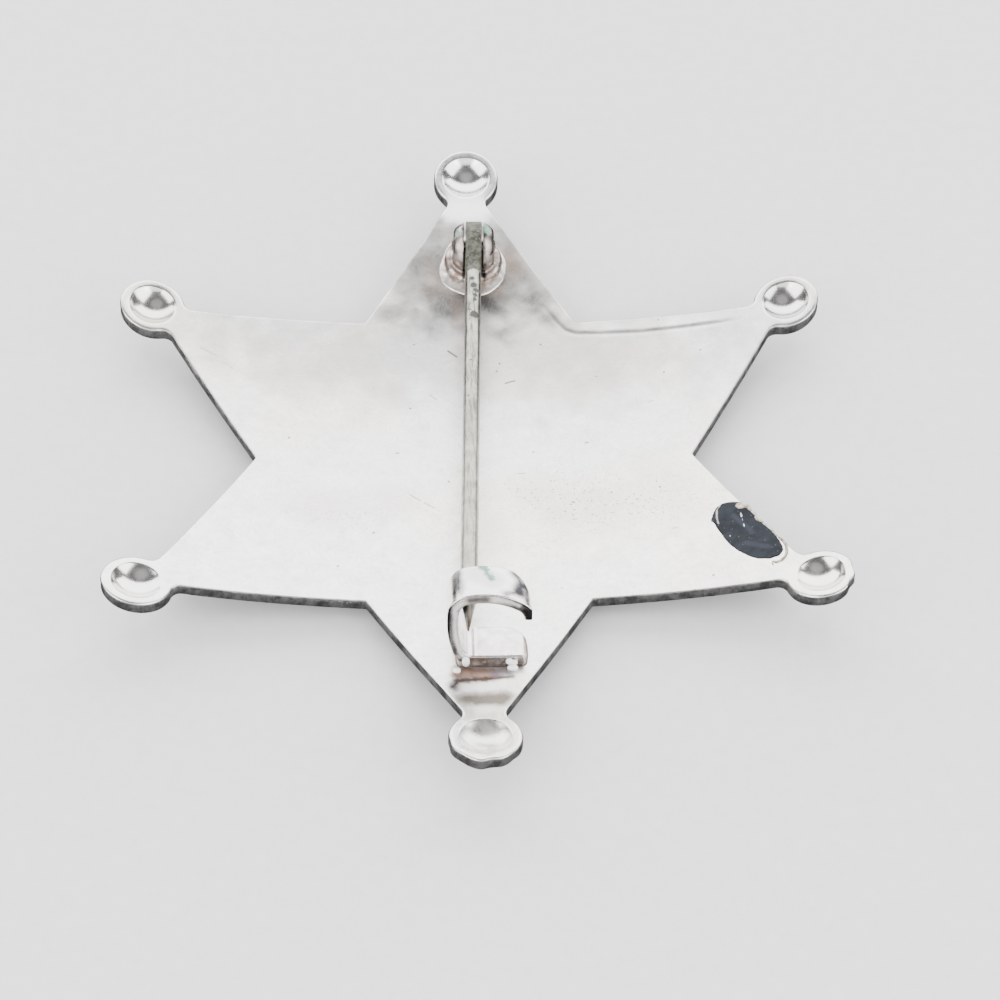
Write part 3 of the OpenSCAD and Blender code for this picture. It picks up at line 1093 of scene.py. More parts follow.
def polished_front():
    """The front, which the badge lies on: polished, with light scuffs."""
    material, bench, place = new_finish("polished_front")
    scuffs = place.warped(0.3, 4.0).stretched(0.5, 4.0, 2.0).mottle(1.6, 5.0, 0.65)
    haze = place.mottle(0.35, 4.0, 0.6)
    tone = 1.0 + (haze - 0.5) * 0.2 + (scuffs - 0.5) * 0.12
    colour = haze.rise(0.3, 0.7).tint((0.80, 0.79, 0.78), (0.82, 0.79, 0.76)).scaled(tone)
    rough = 0.14 + (haze - 0.4).most(0.0) * 0.5 + scuffs.rise(0.55, 0.7) * 0.14
    bump = height_bump(bench, (scuffs, 0.004), (haze, 0.008))
    return dress(material, base_color=colour, roughness=rough, metallic=1.0, normal=bump)


def fitting_metal(name, bare, gloss, brown_reach, verdigris, painted_darks, sheen_spots=None,
                  front=None):
    """Polished nickel silver of a soldered fitting, with brown patina near the plate, green
    copper salts, painted dark reflections and shade, a rougher painted milk-pale highlight,
    and painted lines of highlight and shade along a hook's front edge."""
    material, bench, place = new_finish(name)
    x, y, z = place.parts()
    haze = place.mottle(0.9, 4.0, 0.6)
    rubs = place.warped(0.5, 1.5).stretched(0.8, 3.0, 3.0).mottle(2.0, 4.0, 0.65)
    low = lift_off_back(place).rise(0.0, brown_reach, 1.0, 0.0)
    brown = low * place.mottle(1.3, 4.0, 0.6).rise(0.36, 0.58)
    tone = 1.0 + (haze - 0.5) * 0.3 + (rubs - 0.5) * 0.2
    colour = haze.rise(0.35, 0.65).tint(*bare).scaled(tone)
    colour = (brown * 0.9).tint(colour, (0.14, 0.08, 0.06))
    # Painted dark reflections and painted shade
    dark_rows, dark_z, dark_edge = painted_darks
    dark = strokes(place, dark_rows, dark_edge, 0.8, 1.1) * z.rise(dark_z - 0.4, dark_z + 0.2)
    colour = (dark * 0.985).tint(colour, (0.008, 0.0095, 0.015))
    # Painted highlight: milk-pale colour, also rougher and less metallic
    milky_sheen = 0.0
    if sheen_spots:
        sheen_rows, sheen_z = sheen_spots
        milky_sheen = blots(place, sheen_rows, 0.5, 0.6, 1.0) * z.rise(sheen_z - 0.3, sheen_z + 0.1)
        colour = (milky_sheen * 0.6).tint(colour, (0.90, 0.91, 0.92))
    green_rows, green_z = verdigris
    green = strokes(place, green_rows, 0.16, 0.9, 2.2) * z.rise(green_z - 0.3, green_z)
    crumbs = place.mottle(5.0, 4.0, 0.7)
    salts = crumbs.rise(0.3, 0.7).tint((0.24, 0.46, 0.37), (0.10, 0.24, 0.18))
    colour = (green * 0.9).tint(colour, salts)
    if front:
        painted_highlight_lines, painted_shade_lines = front
        from_front = bench.vector(x, z, y)
        on_front = in_front_of_strip(y, z)
        # Painted shade and painted highlights along the hook's rounded front edge
        shade = strokes(from_front, painted_shade_lines, 0.25, 0.3, 1.5) * on_front
        colour = (shade * 0.8).tint(colour, (0.05, 0.04, 0.042))
        painted_stripe = strokes(from_front, painted_highlight_lines, 0.2, 0.2, 1.5) * on_front
        painted_stripe = painted_stripe * (haze * 0.8 + 0.5).clamped()
        milky_sheen = milky_sheen.most(painted_stripe * 0.9)
        colour = painted_stripe.tint(colour, (0.95, 0.94, 0.95))
    rough = gloss + (haze - 0.4).most(0.0) * 0.4 + rubs.rise(0.55, 0.75) * 0.1 + brown * 0.15
    rough = rough + milky_sheen * 0.3 + green * 0.5
    bump = height_bump(
        bench, (haze, 0.012), (rubs, 0.004), (green * crumbs, 0.06), (brown * crumbs, 0.006)
    )
    shine = (1.0 - green * 0.9) * (1.0 - milky_sheen * 0.7)
    return dress(material, base_color=colour, roughness=rough, metallic=shine, normal=bump)


def pin_steel():
    """Dull plated wire: dark and mottled at its eye, stained below it."""
    material, bench, place = new_finish("pin_steel")
    x, y, _ = place.parts()
    drawn = place.stretched(4.0, 0.3, 4.0).mottle(1.8, 5.0, 0.68)
    cloud = place.mottle(0.8, 4.0, 0.6)
    colour = cloud.rise(0.35, 0.65).tint((0.355, 0.35, 0.313), (0.24, 0.235, 0.205))
    speckle = drawn.rise(0.5, 0.62) * y.rise(-16.0, 16.0, 0.5, 0.9)
    colour = speckle.tint(colour, (0.10, 0.10, 0.075))
    spots = blots(place, PIN_SPOTS, 0.08, 0.25, 2.5)
    cracks = strokes(place, PIN_CRACKS, 0.05, 0.25, 4.0)
    stain = spots.most(cracks)
    colour = (stain * 0.95).tint(colour, (0.018, 0.021, 0.016))
    end = y + (x - KNUCKLE_END[0]) ** 2.0 * 0.6 + (place.mottle(2.5, 3.0) - 0.5) * 0.4
    knuckle = end.rise(KNUCKLE_END[1] - 0.08, KNUCKLE_END[1] + 0.08)
    grime = place.mottle(2.0, 5.0, 0.7)
    olive = grime.rise(0.36, 0.62).tint((0.13, 0.133, 0.10), (0.03, 0.032, 0.023))
    olive = (place.mottle(4.5, 3.0, 0.6).rise(0.58, 0.7) * 0.6).tint(olive, (0.2, 0.225, 0.19))
    colour = knuckle.tint(colour, olive)
    # Painted shade: the pin's point is darkened brown where it lies under the hood
    tip = y.rise(-22.4, -21.2, 1.0, 0.0)
    colour = (tip * 0.8).tint(colour, (0.20, 0.16, 0.11))
    matt = knuckle.most(stain)
    rough = 0.3 + (drawn - 0.5) * 0.2 + matt * 0.22
    bump = height_bump(bench, (drawn, 0.006), (stain, -0.01), (knuckle * grime, 0.07))
    metallic = 1.0 - matt * 0.85
    return dress(material, base_color=colour, roughness=rough, metallic=metallic, normal=bump)


def tarnished_rivet():
    """Peened rivet, dark with patina, bright only where it was struck."""
    material, bench, place = new_finish("tarnished_rivet")
    crust = place.mottle(3.0, 5.0, 0.7)
    colour = crust.rise(0.35, 0.65).tint((0.46, 0.44, 0.40), (0.14, 0.13, 0.11))
    bump = height_bump(bench, (crust, 0.03))
    rough = 0.3 + crust * 0.3
    return dress(material, base_color=colour, roughness=rough, metallic=0.9, normal=bump)


def dark_lacquer():
    """Slate-coloured lacquer spilt on the back, matt and slightly dusty."""
    material, bench, place = new_finish("dark_lacquer")
    cloud = place.warped(0.5, 1.0).mottle(0.9, 5.0, 0.65)
    lumps = place.mottle(3.5, 4.0, 0.6)
    dust = place.dots(3.0, 0.12)
    colour = cloud.rise(0.3, 0.7).tint((0.009, 0.0107, 0.0146), (0.022, 0.0258, 0.0335))
    colour = (dust * 0.3).tint(colour, (0.4, 0.41, 0.43))
    scratch = strokes(place, LACQUER_ARC, 0.06, 0.16, 3.0)
    colour = (scratch * 0.75).tint(colour, (0.66, 0.63, 0.60))
    smears = strokes(place, LACQUER_SMEARS, 0.15, 0.3, 2.0)
    colour = (smears * 0.4).tint(colour, (0.04, 0.045, 0.06))
    bump = height_bump(bench, (cloud, 0.03), (lumps, 0.012), (scratch, -0.02))
    return dress(
        material, base_color=colour, roughness=0.5 + cloud * 0.3, metallic=0.0, normal=bump,
        specular_ior_level=0.12,
    )


def matt_crumbs(name, light, dark, scale, roughness, metallic=0.0):
    """Dull mottled stuff, such as primer flakes or a dried run."""
    material, bench, place = new_finish(name)
    cloud = place.mottle(scale, 4.0, 0.65)
    colour = cloud.rise(0.32, 0.68).tint(light, dark)
    bump = height_bump(bench, (cloud, 0.03))
    rough = roughness + (cloud - 0.5) * 0.3
    return dress(material, base_color=colour, roughness=rough, metallic=metallic, normal=bump)


def floor_paper():
    material, _, place = new_finish("floor_paper")
    cloud = place.mottle(0.8, 2.0)
    colour = cloud.rise(0.3, 0.7).tint((0.735, 0.735, 0.74), (0.765, 0.765, 0.765))
    return dress(material, base_color=colour, roughness=0.9, metallic=0.0)


# Lines of wear and heat on the back, and of painted shadow, shade and highlight by the catch: x,
# y, x, y, half width
# Painted contact shadow: a dark brown line in front of the catch's foot
CONTACT_SHADOW_LINES = ((-1.9, -24.2, 0.2, -24.05, 0.3), (0.2, -24.05, 2.3, -23.75, 0.2),
               (-1.8, -24.2, -2.3, -24.9, 0.2))
PINK_HEAT = ((-1.7, -23.3, 0.7, -23.5, 0.72),)
VIOLET_HEAT = ((1.0, -23.4, 2.0, -23.2, 0.45), (-2.3, -24.6, -2.1, -25.2, 0.3))
# Painted shade on the bent neck of the bottom arm
NECK_SHADE = ((-1.3, -26.35, 1.6, -26.15, 0.66), (-0.3, -26.45, 1.2, -26.3, 0.8))
# Painted highlights: a pale band in front of the catch and one on the bottom neck, and the sheen
# of the top arm's bent neck
HIGHLIGHT_BANDS = ((-1.2, -25.1, 1.5, -24.75, 0.3), (-0.2, -27.6, 0.2, -27.6, 0.5))
NECK_SHEEN = ((0.0, 27.5, 1.9), (-0.9, 28.2, 1.2), (0.9, 28.2, 1.2))
SCORED = (
    (-1.88, 12.49, -1.17, 11.87, 0.08), (2.8, 8.96, 3.55, 9.2, 0.07),
    (-3.45, 7.78, -2.89, 7.24, 0.03),
    (3.5, -0.9, 4.1, -0.85, 0.03), (14.4, 6.1, 14.8, 6.2, 0.03),
    (15.5, -8.0, 15.9, -7.9, 0.03), (-5.2, -3.2, -4.4, -3.8, 0.04), (-4.1, -4.0, -3.3, -4.6, 0.04),
    (-6.3, 1.4, -6.1, 1.4, 0.07), (9.1, 2.2, 9.3, 2.2, 0.06),
)
VEINS = (
    (-22.4, 11.4, -20.9, 10.6, 0.03), (-21.2, 11.9, -20.2, 11.5, 0.03),
    (-20.4, 10.1, -19.4, 9.3, 0.03), (-17.0, 4.6, -15.2, 3.4, 0.02),
)
# Dark blotches round the joint; those below it are its painted dark reflection: x, y, radius
DARK_BLOTCHES = ((-2.9, 17.0, 0.35), (2.9, 17.8, 0.4), (-1.0, 25.7, 0.35), (-4.6, 16.9, 0.3),
              (5.6, 16.6, 0.3), (-6.5, 15.4, 0.25))
# How each of those lines looks: rows, softness of the edge, raggedness and its scale, strength
# and colour
LINE_STAINS_AND_SHADE = (
    (PINK_HEAT, 0.4, 0.7, 1.2, 0.9, (0.24, 0.13, 0.09)),
    (VIOLET_HEAT, 0.35, 0.5, 1.2, 0.8, (0.15, 0.13, 0.17)),
    (CONTACT_SHADOW_LINES, 0.22, 0.5, 1.5, 0.95, (0.05, 0.03, 0.025)),
    (NECK_SHADE, 0.48, 0.6, 1.4, 0.9, (0.11, 0.09, 0.065)),
    (SCORED, 0.06, 0.0, 1.0, 0.9, (0.09, 0.08, 0.07)),
    (VEINS, 0.08, 0.35, 3.0, 0.6, (0.22, 0.20, 0.19)),
)
# Stains of the pin: x, y, radius, and cracks in its plating
KNUCKLE_END = (0.26, 17.45)
PIN_SPOTS = ((0.14, 16.26, 0.22), (0.26, 15.4, 0.3), (0.45, 14.8, 0.26), (0.3, 13.6, 0.16),
             (0.38, 14.2, 0.22), (0.26, 11.8, 0.42), (-0.2, 6.3, 0.1), (-0.5, 2.1, 0.09))
PIN_CRACKS = (
    (0.2, 16.2, 0.5, 15.0, 0.03), (0.5, 14.9, 0.15, 13.3, 0.04), (0.34, 12.0, -0.2, 12.5, 0.03),
    (0.3, 11.7, -0.25, 11.2, 0.03), (-0.1, 13.4, -0.3, 12.4, 0.02),
)
# Marks on the lacquer: the curved scratch inside its left end, and darker smears
LACQUER_ARC = ((19.34, -6.05, 19.05, -6.6, 0.03), (19.05, -6.6, 18.96, -7.4, 0.06),
               (18.96, -7.4, 19.05, -8.1, 0.03))
LACQUER_SMEARS = ((20.3, -7.4, 21.6, -9.6, 0.2), (21.0, -10.6, 22.6, -11.4, 0.25))
JOINT_GREEN = (((1.5, 21.7, 1.4, 20.9, 0.24), (-1.0, 21.0, -0.95, 20.7, 0.12)), 3.9)
# Painted shade along the joint's slot edges and a painted dark reflection on its right cheek:
# lines, height, edge
JOINT_PAINTED_SHADE = (((1.8, 22.4, 1.9, 21.8, 0.3), (-0.48, 19.4, -0.46, 21.6, 0.1),
               (1.3, 19.3, 1.34, 21.4, 0.1)), 2.9, 0.2)
CATCH_GREEN = (((-0.1, -17.7, 0.75, -19.35, 0.2),), 6.4)
# Painted dark reflections on the hood's sides: lines, height, edge
CATCH_PAINTED_DARK = (((2.5, -18.2, 3.0, -19.4, 0.3), (2.95, -19.4, 2.7, -20.3, 0.52),
               (2.7, -20.3, 1.8, -20.9, 0.28), (-1.8, -18.3, -1.8, -20.4, 0.34)), 5.4, 0.42)
CATCH_SEAT = seat_on_back(CATCH_AT, 0.0)


def in_front_of_strip(y, z):
    """1 on the hook's front edge, which leans with the plate, and 0 behind it."""
    back = CATCH_SEAT.to_3x3() @ Vector((0.0, 1.0, 0.0))
    seat = CATCH_SEAT.translation
    depth = (y - seat.y) * back.y + (z - seat.z) * back.z
    return depth.rise(0.1 - STRIP_W / 2.0, 0.25 - STRIP_W / 2.0, 1.0, 0.0)


def strip_lines(rows):
    """Lines on the front edge of the hook's strip. Each row is the number of the bend, where
    on it the line starts and ends, how far inwards it lies, and half its width."""
    arcs, _ = hook_arcs()
    lines = []
    for number, first, last, inwards, half in rows:
        centre, r, heading, bend = arcs[number]
        steps = 3
        places = []
        for i in range(steps + 1):
            a = math.radians(heading - bend * (first + (last - first) * i / steps))
            side = r - inwards
            x, z = centre[0] - side * math.sin(a), centre[1] + side * math.cos(a)
            spot = CATCH_SEAT @ Vector((x, -STRIP_W / 2.0, z))
            places.append((spot.x, spot.z))
        lines += [(*places[i], *places[i + 1], half) for i in range(steps)]
    return lines


# The painted highlights and painted shade on the hook's front edge: bend, from, to, inwards, half
# width
HIGHLIGHT_STRIP = ((0, 0.35, 1.0, 0.12, 0.09), (1, 0.0, 1.0, 0.14, 0.12), (2, 0.1, 0.7, 0.05, 0.12),
                (3, 0.55, 0.95, -0.08, 0.1))
SHADE_STRIP = ((0, 0.2, 1.0, -0.3, 0.1), (1, 0.0, 1.0, -0.34, 0.1), (3, 0.05, 0.35, 0.0, 0.25),
              (3, 0.6, 1.0, 0.34, 0.06), (4, 0.3, 1.0, 0.1, 0.2))
# Painted milk-pale highlight on the hood's top: x, y, radius; height
CATCH_SHEEN = (((-0.2, -18.8, 1.1), (0.6, -19.4, 1.0)), 6.3)

star_finishes = hazed_back(), cut_edge(), polished_front()
joint_bare = (0.55, 0.53, 0.50), (0.38, 0.32, 0.29)
joint_finish = fitting_metal("joint_metal", joint_bare, 0.26, 3.2, JOINT_GREEN, JOINT_PAINTED_SHADE)
catch_bare = (0.80, 0.79, 0.78), (0.78, 0.74, 0.72)
painted_front_lines = strip_lines(HIGHLIGHT_STRIP), strip_lines(SHADE_STRIP)
catch_finish = fitting_metal(
    "catch_metal", catch_bare, 0.15, 1.3, CATCH_GREEN, CATCH_PAINTED_DARK, CATCH_SHEEN, painted_front_lines
)

make_star_plate(*star_finishes)
joint_low, joint_high = (-2.6, -2.6, -0.2), (2.6, 2.6, 4.8)
joint_seat = seat_on_back(JOINT_AT, -PIN_SKEW)
cast_fitting("joint_knuckle", joint_low, joint_high, (0.055,) * 3, joint_shape, joint_finish,
             joint_seat, "badge", "pin_joint")
rivet_low, rivet_high = (-2.3, -0.8, -0.8), (2.3, 0.8, 0.8)
rivet_seat = joint_seat @ Matrix.Translation((0.0, 0.0, AXIS_H))
cast_fitting("rivet", rivet_low, rivet_high, (0.04,) * 3, rivet_shape, tarnished_rivet(),
             rivet_seat, "badge", "joint_rivet")
catch_low, catch_high = (-3.6, -2.0, -0.2), (3.3, 2.0, 7.2)
cast_fitting("catch", catch_low, catch_high, (0.06,) * 3, catch_shape, catch_finish,
             CATCH_SEAT, "badge", "catch_hook")
pin_low, pin_high = (-0.8, -PIN_L - 0.2, -2.2), (0.8, 2.2, 2.2)
cast_fitting("pin_wire", pin_low, pin_high, (0.045, 0.12, 0.045), pin_shape, pin_steel(),
             hinge_place(), "pin", "pin_stem")


# What was spilt and stuck on the back

SPILL_OUTLINE = (
    (18.47, -7.63), (18.63, -7.07), (18.91, -6.4), (19.31, -5.95), (19.83, -5.75), (20.32, -5.77),
    (20.97, -5.97), (21.33, -6.47), (21.85, -7.45), (22.36, -8.45), (22.92, -9.34),
    (23.34, -10.12), (23.66, -11.06), (23.8, -11.72), (23.71, -12.18), (23.34, -12.58),
    (22.75, -12.73), (22.11, -12.67), (21.48, -12.43), (20.83, -11.93), (20.27, -11.35),
    (19.76, -10.63), (19.34, -9.75), (18.93, -8.73), (18.72, -8.07),
)
PRIMER_FLAKES = (
    ((20.48, -6.31), (20.66, -6.09), (21.04, -6.11), (21.31, -6.3), (21.49, -6.2), (21.66, -6.65),
     (21.8, -7.16), (21.62, -7.07), (21.28, -6.69), (20.91, -6.74), (20.62, -6.65)),
    ((21.92, -7.4), (22.05, -7.6), (22.1, -7.91), (22.4, -8.23), (22.6, -8.69), (22.34, -8.53),
     (22.05, -8.38), (21.89, -8.02)),
    ((22.94, -9.15), (23.12, -9.46), (23.28, -9.73), (23.4, -10.13), (23.5, -10.4),
     (23.33, -10.21), (23.12, -9.83)),
    ((22.6, -8.75), (22.72, -8.8), (22.88, -9.08), (22.76, -9.05)),
    ((21.78, -7.15), (21.9, -7.2), (21.97, -7.42), (21.85, -7.38)),
)
# Runs and threads: half width, then the places along them
WHITE_CRUMBS = (
    (0.09, ((20.86, -7.15), (20.89, -7.5), (20.9, -7.72))),
    (0.06, ((20.93, -7.9), (20.96, -8.2))),
    (0.08, ((20.97, -8.4), (21.0, -8.62), (21.02, -8.86))),
    (0.1, ((19.91, -9.62), (19.79, -9.66))),
)
DRIED_RUN = (
    (0.13, ((23.5, -10.45), (23.75, -10.8), (23.96, -11.3), (24.02, -11.8), (23.95, -12.4),
            (23.72, -12.85), (23.4, -13.12), (23.05, -13.18), (22.8, -13.05))),
    (0.07, ((22.76, -13.1), (22.8, -13.35), (22.86, -13.58))),
)
SPILL_GRID = 0.16
OUTLINE_STEPS = 5
# How deep a film's underside sits in the plate, how thick its rim is, how far its grid keeps
# off the rim as a share of the spacing, and how closely its lumps and tears lie
FILM_SUNK, FILM_LIP = 0.03, 0.01
FILM_RIM_ROOM = 0.35
LUMP_SEED, LUMP_SCALE = 7.1, 2.4
TEAR_SEED, TEAR_SCALE = 2.7, 6.0
# How wide a run is at its ends
RUN_END_SHARE = 0.45


def rounded_outline(corners, steps=OUTLINE_STEPS):
    """A closed smooth line through the corners."""
    count = len(corners)
    line = []
    for i in range(count):
        a, b, c, d = (Vector(corners[(i + k) % count]) for k in (-1, 0, 1, 2))
        for k in range(steps):
            t = k / steps
            line.append(0.5 * (2.0 * b + (c - a) * t + (2.0 * a - 5.0 * b + 4.0 * c - d) * t * t
                               + (3.0 * b - a - 3.0 * c + d) * t ** 3))
    return line


def torn_outline(corners, steps, tear):
    """A closed line through the corners, frayed between them."""
    line = []
    for i, corner in enumerate(corners):
        here, there = Vector(corner), Vector(corners[(i + 1) % len(corners)])
        beside = Vector((here.y - there.y, there.x - here.x)).normalized()
        for j in range(steps):
            p = here.lerp(there, j / steps)
            fray = noise.noise(Vector((p.x, p.y, TEAR_SEED)) * TEAR_SCALE)
            line.append(p + beside * (tear * fray))
    return line


def run_outline(path, half):
    """Outline of a thin run along a path, narrowed at both ends."""
    places = [Vector(p) for p in path]
    sides = []
    for i, p in enumerate(places):
        heading = (places[min(i + 1, len(places) - 1)] - places[max(i - 1, 0)]).normalized()
        share = RUN_END_SHARE if i in (0, len(places) - 1) else 1.0
        sides.append((p, Vector((-heading.y, heading.x)) * (half * share)))
    return [p + out for p, out in sides] + [p - out for p, out in reversed(sides)]


def edge_distance(p, line):
    """Distance from the nearest part of a closed line."""
    best = 1e9
    for i, a in enumerate(line):
        run = line[(i + 1) % len(line)] - a
        t = min(max((p - a).dot(run) / max(run.length_squared, 1e-9), 0.0), 1.0)
        best = min(best, (p - a - run * t).length)
    return best


def inside_line(p, line):
    crossed = False
    for i, a in enumerate(line):
        b = line[(i + 1) % len(line)]
        if (a.y > p.y) != (b.y > p.y) and p.x < (b.x - a.x) * (p.y - a.y) / (b.y - a.y) + a.x:
            crossed = not crossed
    return crossed


def spilt_film(name, outlines, thickness, roll, lumps, grid, material, base=0.0):
    """Films lying on the back, each a closed skin with a rolled edge, base above it."""
    form = bmesh.new()
    for line in outlines:
        xs, ys = [p.x for p in line], [p.y for p in line]
        inner = []
        for j in range(int((max(ys) - min(ys)) / grid) + 1):
            for i in range(int((max(xs) - min(xs)) / grid) + 1):
                p = Vector((min(xs) + (i + 0.5 * (j % 2)) * grid, min(ys) + (j + 0.5) * grid))
                if inside_line(p, line) and edge_distance(p, line) > FILM_RIM_ROOM * grid:
                    inner.append(p)
        edges = [(i, (i + 1) % len(line)) for i in range(len(line))]
        found, _, triangles, *_ = delaunay_2d_cdt(line + inner, edges, [], 1, 1e-6)
        top, under = [], []
        for p in found:
            away = edge_distance(p, line)
            low = worn_back(p.x, p.y) - FILM_SUNK + base
            rise = math.sqrt(1.0 - (1.0 - min(away / roll, 1.0)) ** 2)
            lump = 1.0 + lumps * noise.noise(Vector((p.x, p.y, LUMP_SEED)) * LUMP_SCALE)
            high = FILM_LIP if away < 1e-4 else FILM_SUNK + thickness * rise * lump
            top.append(form.verts.new((p.x, p.y, low + high)))
            under.append(form.verts.new((p.x, p.y, low)))
        sides = set()
        for corners in triangles:
            form.faces.new([top[c] for c in corners])
            form.faces.new([under[c] for c in reversed(corners)])
            sides.update(zip(corners, (*corners[1:], corners[0])))
        for here, there in sides:
            if (there, here) not in sides:
                form.faces.new((top[there], top[here], under[here], under[there]))
    loose = [vert for vert in form.verts if not vert.link_faces]
    bmesh.ops.delete(form, geom=loose, context="VERTS")
    piece = to_metres(keep_form(name, form, material))
    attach(piece, "badge")


LACQUER_T = 0.05
spill = rounded_outline(SPILL_OUTLINE)
spilt_film("lacquer_spill", [spill], LACQUER_T, 0.12, 0.25, SPILL_GRID, dark_lacquer())
flakes = [torn_outline(corners, 4, 0.06) for corners in PRIMER_FLAKES]
primer = matt_crumbs("primer_flake", (0.72, 0.65, 0.54), (0.20, 0.145, 0.10), 3.0, 0.6)
spilt_film("primer_flakes", flakes, 0.1, 0.05, 0.5, 0.08, primer, LACQUER_T)
crumbs = [rounded_outline(run_outline(path, half), 3) for half, path in WHITE_CRUMBS]
chalk = matt_crumbs("chalky_crumb", (0.72, 0.74, 0.75), (0.42, 0.44, 0.46), 6.0, 0.7)
spilt_film("chalky_crumbs", crumbs, 0.06, 0.06, 0.8, 0.06, chalk, LACQUER_T - 0.01)
runs = [rounded_outline(run_outline(path, half), 3) for half, path in DRIED_RUN]
dried = matt_crumbs("dried_run", (0.50, 0.42, 0.36), (0.11, 0.08, 0.06), 2.5, 0.4, 0.3)
spilt_film("dried_run", runs, 0.1, 0.08, 0.5, 0.07, dried)


# Solder beads by the foot of the catch, and burrs on the cut edges

# Beads: x, y, radii across, along and up, height of the middle above the plate
SOLDER_BEADS = ((-1.25, -22.6, 0.3, 0.26, 0.5, 0.62), (-1.95, -23.1, 0.32, 0.24, 0.22, 0.08),
                (2.05, -22.6, 0.28, 0.24, 0.24, 0.6), (2.45, -22.6, 0.22, 0.22, 0.2, 0.5),
                (2.3, -22.85, 0.42, 0.26, 0.26, 0.1))


def bead_shape(x, y, z):
    beads = None
    for at_x, at_y, across, along, up, middle in SOLDER_BEADS:
        dz = z - (worn_back(at_x, at_y) + middle)
        reach = ((x - at_x) * (1.0 / across)) ** 2.0 + ((y - at_y) * (1.0 / along)) ** 2.0
        ball = ((reach + (dz * (1.0 / up)) ** 2.0) ** 0.5 - 1.0) * min(across, along, up)
        beads = ball if beads is None else beads.melt(ball, 0.1)
    return beads


bead_low, bead_high = (-2.5, -23.6, 2.4), (3.0, -22.0, 4.4)
# Near-white, hardly metallic colour: the beads' glints are painted into their colour
solder = matt_crumbs("solder_bead_painted_glint", (0.98, 0.98, 0.98), (0.94, 0.93, 0.92), 1.2, 0.3, 0.1)
bead_steps = grid_steps(bead_low, bead_high, (0.045,) * 3)
beads = melted_metal("solder_beads", bead_low, bead_high, bead_steps, bead_shape, solder, None)
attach(beads, "badge")


def solder_fillet():
    """Solder run round the foot of a fitting: bright, with dark brown painted shade where it thins
    out against the plate.
    """
    material, bench, place = new_finish("solder_fillet")
    cloud = place.mottle(1.1, 4.0, 0.6)
    _, y, _ = place.parts()
    # Painted shade: the run's thin rim by the plate goes dark brown, most round the catch's leg
    thin = lift_off_back(place).rise(0.05, 0.16, 1.0, 0.0) * y.rise(0.0, 1.0, 1.0, 0.15)
    colour = cloud.rise(0.35, 0.65).tint((0.85, 0.83, 0.81), (0.66, 0.57, 0.52))
    colour = (thin * 0.9).tint(colour, (0.05, 0.03, 0.022))
    bump = height_bump(bench, (cloud, 0.03))
    rough = 0.3 + cloud * 0.2
    return dress(material, base_color=colour, roughness=rough, metallic=1.0, normal=bump)


# Solder round the joint's base: corners, least width, how much wider it is in front and how
# far that is turned, and its unevenness
JOINT_RUN_CORNERS = 28
JOINT_RUN_W, JOINT_RUN_FRONT, JOINT_RUN_TURN = 0.35, 0.6, 0.3
JOINT_RUN_WAVER, JOINT_RUN_WAVER_R, JOINT_RUN_SEED = 0.4, 1.3, 5.0


def joint_run():
    """Outline of the solder round the joint's base, wider in front."""
    corners = []
    for i in range(JOINT_RUN_CORNERS):
        a = 2.0 * math.pi * i / JOINT_RUN_CORNERS
        wide = JOINT_RUN_W + JOINT_RUN_FRONT * max(-math.sin(a + JOINT_RUN_TURN), 0.0)
        spot = Vector((*on_circle(JOINT_RUN_WAVER_R, a), JOINT_RUN_SEED))
        wide += JOINT_RUN_WAVER * noise.noise(spot)
        corners.append(Vector(JOINT_AT) + on_circle(JOINT_BASE_R + wide, a))
    return corners


# Solder round the catch's leg
LEG_RUN = ((-1.5, -22.75), (-0.6, -22.72), (0.9, -22.7), (2.6, -22.8), (3.3, -22.55),
           (3.52, -21.8), (3.55, -20.6), (3.45, -19.5), (3.15, -18.85), (2.5, -18.62),
           (1.4, -18.6), (0.2, -18.66), (-1.0, -18.7), (-1.7, -19.1), (-2.0, -20.2),
           (-2.05, -21.5), (-1.95, -22.4))
runs = [rounded_outline(joint_run(), 4), rounded_outline([Vector(p) for p in LEG_RUN], 4)]
spilt_film("solder_runs", runs, 0.17, 1.1, 0.3, 0.13, solder_fillet())


FULL_TURN = 6.28
BURR_SEED = 11
# The smallest burr of a line and how far burrs lie off it, as shares of its largest burr
BURR_SMALLEST, BURR_SCATTER = 0.3, 0.7


